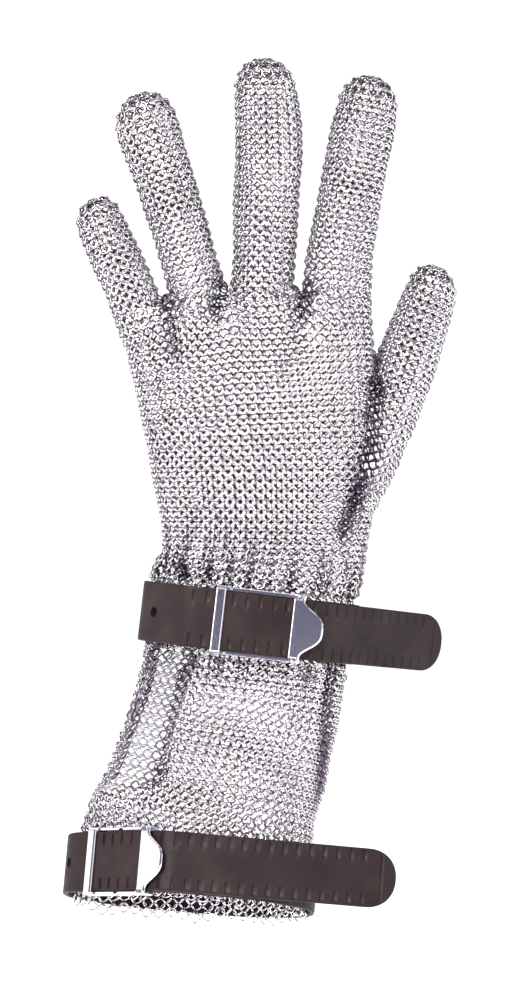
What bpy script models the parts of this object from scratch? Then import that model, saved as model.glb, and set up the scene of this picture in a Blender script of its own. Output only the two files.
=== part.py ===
"""Ring-mesh safety glove for a left hand, with two rubber straps and stamped buckles.

The glove stands with its fingers up (+Z).  The back of the hand faces -Y and the
thumb points to +X.  The origin is the centre of the cuff opening.  The ring mesh
is built as thin hollow walls in the glove's worn form.
"""
import math
from collections import namedtuple

import bmesh
import bpy
import numpy as np
from mathutils import Matrix, Vector

MM = 0.001

# ---------------------------------------------------------------- driving sizes, mm
MAIL_WALL = 2.0            # thickness of the ring mesh
GAP = 0.3                  # between neighbouring pieces
STRAP_THICK = 1.8
STRAP_WIDTH = 20.8         # at the buckle
STRAP_TIP_WIDTH = 20.0
BUCKLE_SHEET = 0.8         # steel sheet of frame and lever
BUCKLE_LENGTH = 30.9       # frame, along the strap
BAR_WIDTH = 3.6            # narrow cross-bar at the frame's left end
RAIL_WIDTH = 1.0           # frame's side rails, beside the strap
RAIL_HEIGHT = 3.5
NOTCH_RADIUS = 1.5         # half-round notch in each rail
NOTCH_CENTRE = 9.8         # from the strap's centre line
PIVOT_X = 27.8             # lever axis, from the frame's left end
CAM_RADIUS = 0.9           # round bar that clamps the strap
PIN_RADIUS = 0.5
PIN_HALF = 11.5            # half the pin's length, inside the rails' outer faces
LUG_RADIUS = 1.3           # round ear of a rail, about the pin
RAIL_DIP = 0.4             # the rail between bar and ear is this much lower
EAR_RUN = 2.4              # from the ear's centre to the low stretch
TAB_END_WIDTH = 4.0        # lever plate at the strap's edges
TAB_WIDTH = 11.1           # lever plate at its middle
TAB_SWELL = 9.6            # half the height over which the plate swells
TAB_FULLNESS = 1.6         # 1 gives a cosine bell, more a rounder and fuller tab
TAB_LIFT = 0.2             # the plate's middle above the pivot
TAB_STEPS = 28
EDGE = 0.15                # bevel of the frame's edges
FIXED_END = 6.0            # the fixed band starts this far under the frame
RAMP = 24.0                # run over which the band climbs onto the frame
RAMP_END = 4.0             # where that climb ends, before the frame
OVERRUN = 3.0              # how far a cutter runs past the piece that it opens
BAND_HALF = 11.0           # half the height over which a strap presses the mesh flat
TUBE_POINTS = 40           # points round the cuff and hand
FINGER_POINTS = 16
TUBE_STEP = 1.5            # spacing of points on a strap's loop, for the mesh under it
STRAP_STEP = 3.0           # and for the strap itself
DOME_ANGLES = (25, 45, 62, 77)         # rings of a fingertip, degrees up from its root
TIP_ANGLES = (22, 42, 58, 71, 82)      # stations of a strap's round tip
LAYER_STEP = STRAP_THICK + BUCKLE_SHEET + 2 * GAP   # tail centreline above the fixed band's
STRAP_FLOOR = BUCKLE_SHEET + GAP                    # strap's inner face above the frame's back
BAR_FLOOR = STRAP_FLOOR + STRAP_THICK + GAP         # cross-bar's inner face
PIVOT_HEIGHT = BAR_FLOOR + CAM_RADIUS
CHANNEL_HALF = STRAP_WIDTH / 2 + GAP                # inner face of a rail
FRAME_HALF = CHANNEL_HALF + RAIL_WIDTH
BAR_HALF = CHANNEL_HALF + RAIL_WIDTH / 2

# ---------------------------------------------------------------- tables, mm and degrees
# roll: the section slopes down towards +X; pitch: it rises towards -Y
Row = namedtuple("Row", "name x y z half_width half_depth power roll pitch")
Corner = namedtuple("Corner", "u v radius")
Ring = namedtuple("Ring", "x y z half_width half_depth")
Loop = namedtuple("Loop", "corners x y z roll pitch buckle_from tail_heading tail")

# Centreline of each strap's fixed band round the arm, as a polygon with round corners,
# seen from above: u to the right, v away from the back of the hand.
CUFF_CORNERS = [
    Corner(-8.6, -34.2, 8.0),
    Corner(22.0, -34.2, 25.0),
    Corner(42.4, -15.0, 25.0),
    Corner(42.4, 13.0, 25.0),
    Corner(22.0, 32.2, 25.0),
    Corner(-22.0, 32.2, 25.0),
    Corner(-42.4, 17.0, 16.0),
    Corner(-42.4, -0.4, 22.0),
]
WRIST_CORNERS = [
    Corner(22.0, -25.2, 8.0),
    Corner(37.0, -11.0, 20.0),
    Corner(37.0, 11.0, 20.0),
    Corner(20.0, 25.2, 20.0),
    Corner(-20.0, 25.2, 20.0),
    Corner(-37.0, 11.0, 20.0),
    Corner(-37.0, -11.0, 18.0),
    Corner(-22.0, -25.2, 12.0),
]
# The buckle lies on the edge from the last corner to the first, buckle_from along it;
# the strap passes it, and its tail runs straight from the heading given.
LOOPS = {
    "cuff": Loop(CUFF_CORNERS, 0.8, 2.0, 11.0, 4.9, 10.5, 12.6, 0.0, 74.5),
    "wrist": Loop(WRIST_CORNERS, 20.4, 11.5, 98.1, 6.6, 1.0, 9.6, 47.0, 50.0),
}

# Free sections of the cuff and the hand, from the lower strap upwards.
CUFF_ROWS = [
    Row("above_cuff_strap", 4.2, 5.8, 33.0, 39.6, 31.5, 2.2, 6.0, 9.5),
    Row("lower_forearm", 9.2, 8.0, 46.5, 38.9, 30.0, 2.2, 8.0, 8.0),
    Row("upper_forearm", 15.4, 10.2, 67.0, 37.0, 27.6, 2.2, 8.0, 5.0),
    Row("below_wrist_strap", 18.2, 11.0, 80.5, 36.0, 25.4, 2.2, 7.0, 2.5),
]
HAND_ROWS = [
    Row("wrist_flare", 23.0, 11.6, 114.6, 37.2, 25.2, 2.2, 4.0, 0.0),
    Row("wrist", 26.0, 12.0, 123.5, 36.0, 23.6, 2.2, 1.0, 0.0),
    Row("heel", 26.6, 12.4, 134.0, 37.6, 22.0, 2.3, 0.0, 0.0),
    Row("lower_palm", 26.0, 12.6, 151.0, 40.2, 20.4, 2.4, -1.0, 0.0),
    Row("palm", 23.4, 12.4, 176.0, 42.0, 18.0, 2.5, -3.0, 0.0),
    Row("knuckles", 21.2, 12.0, 194.0, 43.6, 16.4, 2.6, -5.0, 0.0),
    Row("finger_roots", 20.2, 11.6, 204.5, 43.6, 14.8, 2.6, -6.0, 0.0),
    Row("web", 20.0, 11.4, 212.0, 39.0, 11.6, 2.6, -6.0, 0.0),
]

# Fingers: sections square to the finger from inside the hand up to the last full one,
# then the point of the round tip.
LITTLE = [
    Ring(-12.0, 12.0, 192.0, 9.4, 9.6),
    Ring(-16.3, 11.6, 201.3, 9.6, 9.6),
    Ring(-19.4, 11.2, 209.6, 9.5, 9.4),
    Ring(-22.4, 11.0, 217.9, 9.3, 9.0),
    Ring(-26.2, 11.2, 226.3, 9.4, 8.8),
    Ring(-30.2, 12.0, 234.6, 9.1, 8.6),
    Ring(-31.6, 12.6, 237.8, 8.8, 8.4),
]
RING = [
    Ring(5.4, 12.0, 199.0, 10.6, 11.0),
    Ring(3.5, 11.6, 209.6, 10.6, 10.8),
    Ring(1.4, 11.2, 217.9, 10.5, 10.4),
    Ring(-1.0, 11.0, 226.3, 10.4, 10.2),
    Ring(-5.9, 10.6, 242.9, 10.5, 10.0),
    Ring(-11.3, 11.4, 259.5, 11.0, 10.0),
    Ring(-14.9, 12.8, 270.5, 11.5, 10.0),
]
MIDDLE = [
    Ring(25.2, 12.0, 202.0, 11.6, 11.4),
    Ring(25.3, 11.6, 213.8, 11.6, 11.2),
    Ring(26.0, 11.0, 226.3, 11.6, 10.8),
    Ring(26.4, 10.6, 242.9, 12.0, 10.6),
    Ring(27.4, 10.6, 259.5, 12.4, 10.6),
    Ring(27.2, 11.6, 272.0, 12.2, 10.4),
    Ring(26.2, 12.8, 283.0, 11.4, 10.0),
]
INDEX = [
    Ring(50.6, 12.0, 202.0, 13.0, 11.6),
    Ring(51.0, 11.6, 213.8, 12.8, 11.2),
    Ring(52.0, 11.2, 226.3, 12.2, 10.8),
    Ring(55.1, 10.8, 242.9, 11.4, 10.4),
    Ring(57.9, 11.0, 259.5, 11.4, 10.2),
    Ring(59.9, 12.2, 268.6, 11.5, 10.2),
    Ring(61.6, 13.2, 277.0, 11.0, 9.8),
]
THUMB = [
    Ring(52.0, 13.0, 141.0, 13.2, 15.0),
    Ring(57.6, 13.6, 151.3, 13.6, 15.0),
    Ring(62.4, 14.4, 159.6, 13.0, 14.2),
    Ring(66.4, 15.4, 168.0, 12.4, 13.2),
    Ring(73.9, 17.4, 184.6, 11.4, 11.6),
    Ring(79.8, 19.6, 201.3, 10.7, 10.4),
    Ring(82.9, 21.0, 209.6, 10.0, 9.8),
    Ring(84.5, 21.8, 213.6, 9.4, 9.2),
]
Finger = namedtuple("Finger", "rings tip_x tip_y tip_z base_z")
FINGERS = {
    "little_finger": Finger(LITTLE, -34.6, 13.6, 246.2, 216.0),
    "ring_finger": Finger(RING, -18.2, 14.4, 283.2, 223.2),
    "middle_finger": Finger(MIDDLE, 25.2, 14.4, 295.4, 231.2),
    "index_finger": Finger(INDEX, 63.6, 14.8, 289.2, 229.4),
    "thumb": Finger(THUMB, 86.9, 23.4, 222.8, 203.0),
}

# The open slit on the little-finger side, seen from the back of the hand.
VENT_OUTLINE = [(-1.6, 91.5), (-14.2, 44.6), (-27.5, 38.0), (-60.0, 35.0), (-60.0, 91.5)]
VENT_FRONT = -60.0
VENT_BACK = 8.5


# ---------------------------------------------------------------- scene helpers
def clear_scene():
    for obj in list(bpy.data.objects):
        bpy.data.objects.remove(obj, do_unlink=True)


def collection(name):
    made = bpy.data.collections.new(name)
    bpy.context.scene.collection.children.link(made)
    return made


def finish(name, colour, roughness, metallic):
    material = bpy.data.materials.new(name)
    material.use_nodes = True
    shader = material.node_tree.nodes["Principled BSDF"]
    shader.inputs["Base Color"].default_value = (*colour, 1.0)
    shader.inputs["Roughness"].default_value = roughness
    shader.inputs["Metallic"].default_value = metallic
    return material


def object_from(mesh, name, home, material=None):
    obj = bpy.data.objects.new(name, mesh)
    home.objects.link(obj)
    if material:
        mesh.materials.append(material)
    return obj


def boolean(obj, cutter, operation):
    step = obj.modifiers.new(f"{operation}_{cutter.name}", "BOOLEAN")
    step.operation = operation
    step.solver = "EXACT"
    step.object = cutter
    cutter.hide_render = True
    cutter.display_type = "WIRE"


def bevel(obj, width):
    step = obj.modifiers.new("edge", "BEVEL")
    step.width = width * MM
    step.segments = 1
    step.limit_method = "ANGLE"
    step.angle_limit = math.radians(40)


# ---------------------------------------------------------------- shape helpers
def tilt(roll, pitch):
    """Axes of a section: u to the right, v away from the back of the hand, w up."""
    turn = Matrix.Rotation(math.radians(roll), 3, "Y") @ Matrix.Rotation(math.radians(-pitch), 3, "X")
    return np.array(turn)


def loft(name, rings, tip=None):
    """A closed mesh through rings of points; its top closes in a point if one is given."""
    bm = bmesh.new()
    rows = [[bm.verts.new(Vector(p) * MM) for p in ring] for ring in rings]
    count = len(rows[0])
    for low, high in zip(rows, rows[1:]):
        for i in range(count):
            j = (i + 1) % count
            bm.faces.new((low[i], low[j], high[j], high[i]))
    bm.faces.new(list(reversed(rows[0])))
    if tip is None:
        bm.faces.new(rows[-1])
    else:
        point = bm.verts.new(Vector(tip) * MM)
        for i in range(count):
            bm.faces.new((rows[-1][i], rows[-1][(i + 1) % count], point))
    bmesh.ops.recalc_face_normals(bm, faces=bm.faces)
    mesh = bpy.data.meshes.new(name)
    bm.to_mesh(mesh)
    bm.free()
    return mesh


def prism(name, outline, axis_u, axis_v, axis_w, centre, thickness):
    """A flat outline (u, v) thickened evenly along w about its centre."""
    bm = bmesh.new()
    ends = []
    for side in (-0.5, 0.5):
        points = [centre + u * axis_u + v * axis_v + side * thickness * axis_w for u, v in outline]
        ends.append([bm.verts.new(Vector(p) * MM) for p in points])
    low, high = ends
    for i in range(len(low)):
        j = (i + 1) % len(low)
        bm.faces.new((low[i], low[j], high[j], high[i]))
    bm.faces.new(list(reversed(low)))
    bm.faces.new(high)
    bmesh.ops.recalc_face_normals(bm, faces=bm.faces)
    mesh = bpy.data.meshes.new(name)
    bm.to_mesh(mesh)
    bm.free()
    return mesh


def rounded_polygon(corners, step):
    """Points and headings along a polygon whose corners are arcs."""
    points, headings = [], []
    count = len(corners)
    edges = []
    for i, here in enumerate(corners):
        there = corners[(i + 1) % count]
        edges.append(math.atan2(there.v - here.v, there.u - here.u))
    joins = []
    for i, here in enumerate(corners):
        turn = (edges[i] - edges[i - 1]) % (2 * math.pi)
        joins.append((turn, here.radius * math.tan(turn / 2)))
    for i, here in enumerate(corners):
        turn, reach = joins[i]
        before = edges[i - 1]
        start = np.array([here.u - reach * math.cos(before), here.v - reach * math.sin(before)])
        middle = start + here.radius * np.array([-math.sin(before), math.cos(before)])
        parts = max(3, math.ceil(here.radius * turn / step))
        for k in range(parts + 1):
            heading = before + turn * k / parts
            points.append(middle + here.radius * np.array([math.sin(heading), -math.cos(heading)]))
            headings.append(heading)
        there = corners[(i + 1) % count]
        length = math.hypot(there.u - here.u, there.v - here.v) - reach - joins[(i + 1) % count][1]
        parts = max(1, math.ceil(length / step))
        along = np.array([math.cos(edges[i]), math.sin(edges[i])])
        for k in range(1, parts):
            points.append(points[-1] + along * length / parts)
            headings.append(edges[i])
    return np.array(points), np.unwrap(np.array(headings))


def polar_of_polygon(corners, inset):
    """Radius at each of TUBE_POINTS directions from the centre, inset along the normal."""
    points, headings = rounded_polygon(corners, TUBE_STEP)
    inward = np.stack([-np.sin(headings), np.cos(headings)], axis=1)
    points = points + inset * inward
    angles = np.arctan2(points[:, 1], points[:, 0])
    radii = np.hypot(points[:, 0], points[:, 1])
    order = np.argsort(angles)
    wanted = directions(TUBE_POINTS)
    return np.interp(wanted, angles[order], radii[order], period=2 * math.pi)


def directions(count):
    return np.linspace(-math.pi, math.pi, count, endpoint=False)


def polar_of_row(row):
    angle = directions(TUBE_POINTS)
    across = np.abs(np.cos(angle) / row.half_width) ** row.power
    through = np.abs(np.sin(angle) / row.half_depth) ** row.power
    return (across + through) ** (-1.0 / row.power)


def ring_points(centre, axes, radii):
    angle = directions(len(radii))
    flat = np.stack([radii * np.cos(angle), radii * np.sin(angle), np.zeros(len(radii))], axis=1)
    return np.array(centre) + flat @ axes.T


# ---------------------------------------------------------------- the strap loops
def loop_axes(loop):
    return tilt(loop.roll, loop.pitch)


def loop_centre(loop, height=0.0):
    return np.array([loop.x, loop.y, loop.z]) + height * loop_axes(loop)[:, 2]


def band_rings(loop, inset, heights):
    radii = polar_of_polygon(loop.corners, STRAP_THICK / 2 + GAP + inset)
    return [ring_points(loop_centre(loop, h), loop_axes(loop), radii) for h in heights]


def row_rings(rows, inset):
    return [
        ring_points((r.x, r.y, r.z), tilt(r.roll, r.pitch), polar_of_row(r) - inset)
        for r in rows
    ]


# ---------------------------------------------------------------- fingers
def finger_ring(rings, index, half_width, half_depth, centre):
    """Points round a finger, in the plane square to its run."""
    before = rings[max(index - 1, 0)]
    after = rings[min(index + 1, len(rings) - 1)]
    run = np.array([after.x - before.x, after.y - before.y, after.z - before.z])
    run /= np.linalg.norm(run)
    across = np.cross([0.0, 1.0, 0.0], run)
    across /= np.linalg.norm(across)
    through = np.cross(run, across)
    angle = directions(FINGER_POINTS)
    return (
        np.array(centre)
        + np.outer(half_width * np.cos(angle), across)
        + np.outer(half_depth * np.sin(angle), through)
    )


def cut_finger(finger, low_z, high_z):
    """The finger's own rings between two heights of its centreline."""
    heights = [r.z for r in finger.rings]
    columns = list(zip(*finger.rings))

    def ring_at(z):
        return Ring(*[float(np.interp(z, heights, c)) for c in columns])

    kept = [r for r in finger.rings if low_z < r.z < high_z]
    return [ring_at(low_z)] + kept + ([ring_at(high_z)] if high_z < heights[-1] else [])


def finger_loft(name, finger, low_z, high_z, inset):
    """The stretch of a finger between two heights, with its round tip if it reaches it."""
    rings = cut_finger(finger, low_z, high_z)
    rows = [
        finger_ring(rings, i, r.half_width - inset, r.half_depth - inset, (r.x, r.y, r.z))
        for i, r in enumerate(rings)
    ]
    if high_z < finger.rings[-1].z:
        return loft(name, rows)
    last = rings[-1]
    start = np.array([last.x, last.y, last.z])
    tip = np.array([finger.tip_x, finger.tip_y, finger.tip_z])
    reach = tip - start
    reach *= 1.0 - inset / np.linalg.norm(reach)
    for angle in DOME_ANGLES:
        shrink = math.cos(math.radians(angle)) ** 0.9
        centre = start + reach * math.sin(math.radians(angle))
        rows.append(
            finger_ring(
                rings, len(rings) - 1,
                (last.half_width - inset) * shrink, (last.half_depth - inset) * shrink, centre,
            )
        )
    return loft(name, rows, start + reach)


# ---------------------------------------------------------------- ring-mesh walls
def make_cuff(parts, guides, steel):
    heights = [-BAND_HALF, BAND_HALF]
    lower, upper = LOOPS["cuff"], LOOPS["wrist"]

    def rings(inset, overrun):
        low = [heights[0] - overrun, heights[1]]
        top = [heights[0], -GAP / 2 + overrun]
        return band_rings(lower, inset, low) + row_rings(CUFF_ROWS, inset) + band_rings(upper, inset, top)

    cuff = object_from(loft("mail_cuff", rings(0.0, 0.0)), "mail_cuff", parts, steel)
    hollow = object_from(loft("cuff_hollow", rings(MAIL_WALL, OVERRUN)), "cuff_hollow", guides)
    boolean(cuff, hollow, "DIFFERENCE")
    vent = prism(
        "vent", VENT_OUTLINE,
        np.array([1.0, 0, 0]), np.array([0, 0, 1.0]), np.array([0, 1.0, 0]),
        np.array([0, (VENT_FRONT + VENT_BACK) / 2, 0]), VENT_BACK - VENT_FRONT,
    )
    boolean(cuff, object_from(vent, "vent", guides), "DIFFERENCE")


def make_hand(parts, guides, steel):
    upper = LOOPS["wrist"]

    def rings(inset, overrun):
        band = band_rings(upper, inset, [GAP / 2 - overrun, BAND_HALF])
        hand = [r._replace(z=r.z - inset) if r.name == "web" else r for r in HAND_ROWS]
        return band + row_rings(hand, inset)

    hand = object_from(loft("mail_hand", rings(0.0, 0.0)), "mail_hand", parts, steel)
    hollows = [object_from(loft("hand_hollow", rings(MAIL_WALL, OVERRUN)), "hand_hollow", guides)]
    for name, finger in FINGERS.items():
        root = finger.rings[0].z
        stub = finger_loft(f"{name}_root", finger, root, finger.base_z, 0.0)
        boolean(hand, object_from(stub, f"{name}_root", guides), "UNION")
        hollow = finger_loft(f"{name}_way", finger, root + GAP, finger.base_z + OVERRUN, MAIL_WALL)
        hollows.append(object_from(hollow, f"{name}_way", guides))
    for hollow in hollows:
        boolean(hand, hollow, "DIFFERENCE")


def make_fingers(parts, guides, steel):
    for name, finger in FINGERS.items():
        top = finger.tip_z
        shell = finger_loft(f"mail_{name}", finger, finger.base_z + GAP, top, 0.0)
        hollow = finger_loft(f"{name}_hollow", finger, finger.base_z - OVERRUN, top, MAIL_WALL)
        obj = object_from(shell, f"mail_{name}", parts, steel)
        boolean(obj, object_from(hollow, f"{name}_hollow", guides), "DIFFERENCE")


# ---------------------------------------------------------------- straps
def buckle_place(loop):
    """The frame's left end on the fixed band's centreline: (u, v) point and heading."""
    last, first = loop.corners[-1], loop.corners[0]
    heading = math.atan2(first.v - last.v, first.u - last.u)
    along = np.array([math.cos(heading), math.sin(heading)])
    return np.array([last.u, last.v]) + loop.buckle_from * along, heading


def strap_route(loop):
    """Centreline (u, v) and headings: from the fixed end once round the arm, over the
    frame's back and out along the tail."""
    place, heading = buckle_place(loop)
    along = np.array([math.cos(heading), math.sin(heading)])
    points, headings = rounded_polygon(loop.corners, STRAP_STEP)
    headings = headings - headings[0] + heading
    leave = math.radians(loop.tail_heading)
    leave += 2 * math.pi * math.ceil((heading + 2 * math.pi - leave - 0.01) / (2 * math.pi))
    again = int(np.argmax(headings + 2 * math.pi >= leave - 1e-6)) + 1
    route = np.array([place + FIXED_END * along, *points, *points[:again]])
    turns = np.array([heading, *headings, *(headings[:again] + 2 * math.pi)])
    steps = np.linalg.norm(np.diff(route, axis=0), axis=1)
    distance = np.concatenate([[0.0], np.cumsum(steps)])
    lap = distance[len(points)] - np.linalg.norm(place - route[len(points)])
    rise = np.clip((distance - lap + RAMP + RAMP_END) / RAMP, 0.0, 1.0)
    climb = LAYER_STEP * rise * rise * (3 - 2 * rise)
    outward = np.stack([np.sin(turns), -np.cos(turns)], axis=1)
    route = route + climb[:, None] * outward
    return route, turns


def strap_stations(loop):
    """Rows of (u, v, heading, width) along the whole strap, with its round tip."""
    route, turns = strap_route(loop)
    rows = [(u, v, h, STRAP_WIDTH) for (u, v), h in zip(route, turns)]
    u, v, heading, _ = rows[-1]
    along = np.array([math.cos(heading), math.sin(heading)])
    tip = STRAP_TIP_WIDTH / 2
    straight = loop.tail - tip
    for part in (0.33, 0.67, 1.0):
        point = np.array([u, v]) + straight * part * along
        rows.append((*point, heading, STRAP_WIDTH + (STRAP_TIP_WIDTH - STRAP_WIDTH) * part))
    for angle in TIP_ANGLES:
        reach = straight + tip * math.sin(math.radians(angle))
        width = STRAP_TIP_WIDTH * math.cos(math.radians(angle))
        rows.append((*(np.array([u, v]) + reach * along), heading, width))
    return rows


def make_strap(name, loop, parts, rubber):
    axes = loop_axes(loop)
    centre = loop_centre(loop)
    rings = []
    for u, v, heading, width in strap_stations(loop):
        middle = centre + u * axes[:, 0] + v * axes[:, 1]
        outward = math.sin(heading) * axes[:, 0] - math.cos(heading) * axes[:, 1]
        half = STRAP_THICK / 2 * outward
        edge = width / 2 * axes[:, 2]
        inner, outer = middle - half, middle + half
        rings.append([inner - edge, outer - edge, outer + edge, inner + edge])
    object_from(loft(f"{name}_strap", rings), f"{name}_strap", parts, rubber)


# ---------------------------------------------------------------- buckles
def buckle_axes(loop):
    """Origin at the frame's left end on its back face; axes along, outward and across."""
    axes = loop_axes(loop)
    (u, v), heading = buckle_place(loop)
    along = math.cos(heading) * axes[:, 0] + math.sin(heading) * axes[:, 1]
    outward = math.sin(heading) * axes[:, 0] - math.cos(heading) * axes[:, 1]
    origin = loop_centre(loop) + u * axes[:, 0] + v * axes[:, 1]
    return origin + (STRAP_THICK / 2 + GAP) * outward, along, outward, axes[:, 2]


def block(name, home, loop, x_range, height_range, half_across):
    """A box in the buckle's own axes, centred on the strap."""
    origin, along, outward, across = buckle_axes(loop)
    (left, right), (low, high) = x_range, height_range
    outline = [(left, low), (right, low), (right, high), (left, high)]
    mesh = prism(name, outline, along, outward, across, origin, 2 * half_across)
    return object_from(mesh, name, home)


def rod(name, home, place, axis, radius, half_length):
    """A cylinder centred on a place in mm, along an axis."""
    bm = bmesh.new()
    bmesh.ops.create_cone(
        bm, cap_ends=True, segments=16, radius1=radius * MM, radius2=radius * MM,
        depth=2 * half_length * MM,
    )
    mesh = bpy.data.meshes.new(name)
    bm.to_mesh(mesh)
    bm.free()
    obj = object_from(mesh, name, home)
    turn = Vector((0, 0, 1)).rotation_difference(Vector(axis)).to_matrix().to_4x4()
    obj.matrix_world = Matrix.Translation(Vector(place) * MM) @ turn
    return obj


def pivot_place(loop):
    """The middle of the lever's pin."""
    origin, along, outward, across = buckle_axes(loop)
    return origin + PIVOT_X * along + PIVOT_HEIGHT * outward


def rail_outline():
    """Side view of a rail: low along the strap, with a round ear for the lever's pin."""
    end_step = LUG_RADIUS - RAIL_DIP
    points = [(0.0, 0.0), (BUCKLE_LENGTH, 0.0), (BUCKLE_LENGTH, RAIL_HEIGHT - end_step)]
    for step in range(8):
        angle = math.radians(-40 + 240 * step / 7)
        points.append((PIVOT_X + LUG_RADIUS * math.cos(angle), PIVOT_HEIGHT + LUG_RADIUS * math.sin(angle)))
    low_top = RAIL_HEIGHT - RAIL_DIP
    points += [(PIVOT_X - EAR_RUN, low_top), (BAR_WIDTH + 2 * RAIL_WIDTH, low_top)]
    points += [(BAR_WIDTH + RAIL_WIDTH, RAIL_HEIGHT), (0.0, RAIL_HEIGHT)]
    return points


def tab_outline():
    """The lever's plate: straight along the cam bar, a bell-shaped finger tab outside."""
    inner = CHANNEL_HALF - GAP
    left = PIVOT_X - CAM_RADIUS
    shoulder = PIVOT_X + LUG_RADIUS + GAP
    points = [(PIVOT_X, inner), (PIVOT_X, -inner), (shoulder, -inner), (shoulder, -BAR_HALF)]
    for i in range(TAB_STEPS + 1):
        y = -BAR_HALF + 2 * BAR_HALF * i / TAB_STEPS
        swell = 0.5 * (1 + math.cos(math.pi * min(abs(y) / TAB_SWELL, 1.0) ** TAB_FULLNESS))
        points.append((left + TAB_END_WIDTH + (TAB_WIDTH - TAB_END_WIDTH) * swell, y))
    return points + [(shoulder, BAR_HALF), (shoulder, inner)]


def make_frame(name, loop, parts, guides, steel):
    origin, along, outward, across = buckle_axes(loop)
    title = f"{name}_buckle_frame"
    sides = prism(title, rail_outline(), along, outward, across, origin, 2 * FRAME_HALF)
    frame = object_from(sides, title, parts, steel)
    run = (-OVERRUN, BUCKLE_LENGTH + OVERRUN)
    depth = (BUCKLE_SHEET, PIVOT_HEIGHT + LUG_RADIUS + OVERRUN)
    boolean(frame, block(f"{name}_channel", guides, loop, run, depth, CHANNEL_HALF), "DIFFERENCE")
    bar_depth = (BAR_FLOOR, BAR_FLOOR + BUCKLE_SHEET)
    bar = block(f"{name}_bar", guides, loop, (0.0, BAR_WIDTH), bar_depth, BAR_HALF)
    boolean(frame, bar, "UNION")
    hole_radius = PIN_RADIUS + GAP
    hole = rod(f"{name}_pin_hole", guides, pivot_place(loop), across, hole_radius, FRAME_HALF + OVERRUN)
    boolean(frame, hole, "DIFFERENCE")
    rail_middle = origin + BUCKLE_LENGTH / 2 * along + RAIL_HEIGHT * outward
    notch_depth = RAIL_HEIGHT - NOTCH_RADIUS
    for edge, side in (("low", -1), ("high", 1)):
        place = rail_middle + side * NOTCH_CENTRE * across
        notch = rod(f"{name}_notch_{edge}", guides, place, outward, NOTCH_RADIUS, notch_depth)
        boolean(frame, notch, "DIFFERENCE")
    bevel(frame, EDGE)


def make_lever(name, loop, parts, guides, steel):
    origin, along, outward, across = buckle_axes(loop)
    title = f"{name}_buckle_lever"
    middle = origin + (PIVOT_HEIGHT + TAB_LIFT) * outward
    plate = prism(title, tab_outline(), along, across, outward, middle, BUCKLE_SHEET)
    pivot = pivot_place(loop)
    plate.transform(Matrix.Translation(Vector(-pivot) * MM))
    lever = object_from(plate, title, parts, steel)
    lever.location = Vector(pivot) * MM
    boolean(lever, rod(f"{name}_cam", guides, pivot, across, CAM_RADIUS, CHANNEL_HALF - GAP), "UNION")
    boolean(lever, rod(f"{name}_pin", guides, pivot, across, PIN_RADIUS, PIN_HALF), "UNION")


# ---------------------------------------------------------------- the glove
def main():
    clear_scene()
    parts = collection("chainmail_glove")
    guides = collection("guides")
    mail = finish("stainless_ring_mesh", (0.62, 0.61, 0.63), 0.28, 1.0)
    sheet = finish("stainless_sheet", (0.58, 0.60, 0.65), 0.30, 1.0)
    rubber = finish("dark_strap_rubber", (0.055, 0.042, 0.042), 0.48, 0.0)
    make_cuff(parts, guides, mail)
    make_hand(parts, guides, mail)
    make_fingers(parts, guides, mail)
    for name, loop in LOOPS.items():
        make_strap(name, loop, parts, rubber)
        make_frame(name, loop, parts, guides, sheet)
        make_lever(name, loop, parts, guides, sheet)


main()
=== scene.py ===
# %% [markdown]
# # A ring-mesh glove, ring by ring
# The object is a butcher's glove of linked steel rings, closed by two rubber straps with
# stamped lever buckles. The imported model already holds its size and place. This file
# lays over nine thousand rings on that form, moulds the straps and finishes the steel.
# Lengths are written in millimetres, as a maker would, and turned to metres at the end.

# %% Load the frame
import math
from collections import namedtuple
from functools import cache

import bmesh
import bpy
import numpy as np
from mathutils import Matrix, Vector, noise
from mathutils.bvhtree import BVHTree


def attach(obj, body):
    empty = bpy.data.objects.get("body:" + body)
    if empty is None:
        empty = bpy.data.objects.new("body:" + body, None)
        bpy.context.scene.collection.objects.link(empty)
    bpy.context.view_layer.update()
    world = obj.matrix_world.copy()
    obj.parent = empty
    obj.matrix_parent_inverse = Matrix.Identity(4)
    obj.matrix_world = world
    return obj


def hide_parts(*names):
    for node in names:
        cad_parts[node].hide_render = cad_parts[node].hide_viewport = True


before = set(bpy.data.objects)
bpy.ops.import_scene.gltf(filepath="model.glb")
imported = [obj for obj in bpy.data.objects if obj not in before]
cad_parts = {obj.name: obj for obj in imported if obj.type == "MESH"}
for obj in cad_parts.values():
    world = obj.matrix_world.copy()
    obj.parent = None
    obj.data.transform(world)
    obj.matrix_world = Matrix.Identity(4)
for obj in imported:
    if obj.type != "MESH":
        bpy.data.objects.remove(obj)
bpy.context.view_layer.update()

MM = 0.001
rng = np.random.default_rng(7)

# %% [markdown]
# ## The rings
# Such mesh is the European four-in-one weave: every ring passes through four others.
# Two kinds of ring alternate, row by row. Both lie across the glove, and one kind leans
# towards the fingers and the other towards the cuff, like shingles set against each
# other. A small twist about the glove's length lets the rings of one row pass each other.
# Each ring is a real torus, so the mesh is open where the real one is open.

# %% Ring sizes
WIRE = 0.6                # wire diameter
RING_OUTSIDE = 4.05       # outside diameter of a ring
ACROSS = 3.8              # from ring to ring along a row
ALONG = 3.55              # from a row to the next row of the same kind
LEAN = math.radians(22)   # of each kind of ring, out of the surface
TWIST = math.radians(9)
RING_SEGMENTS = 12        # round the ring
WIRE_SEGMENTS = 4         # round the wire
WALL_MIDDLE = 1.0         # the rings' centres lie this deep in the model's 2 mm wall


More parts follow.
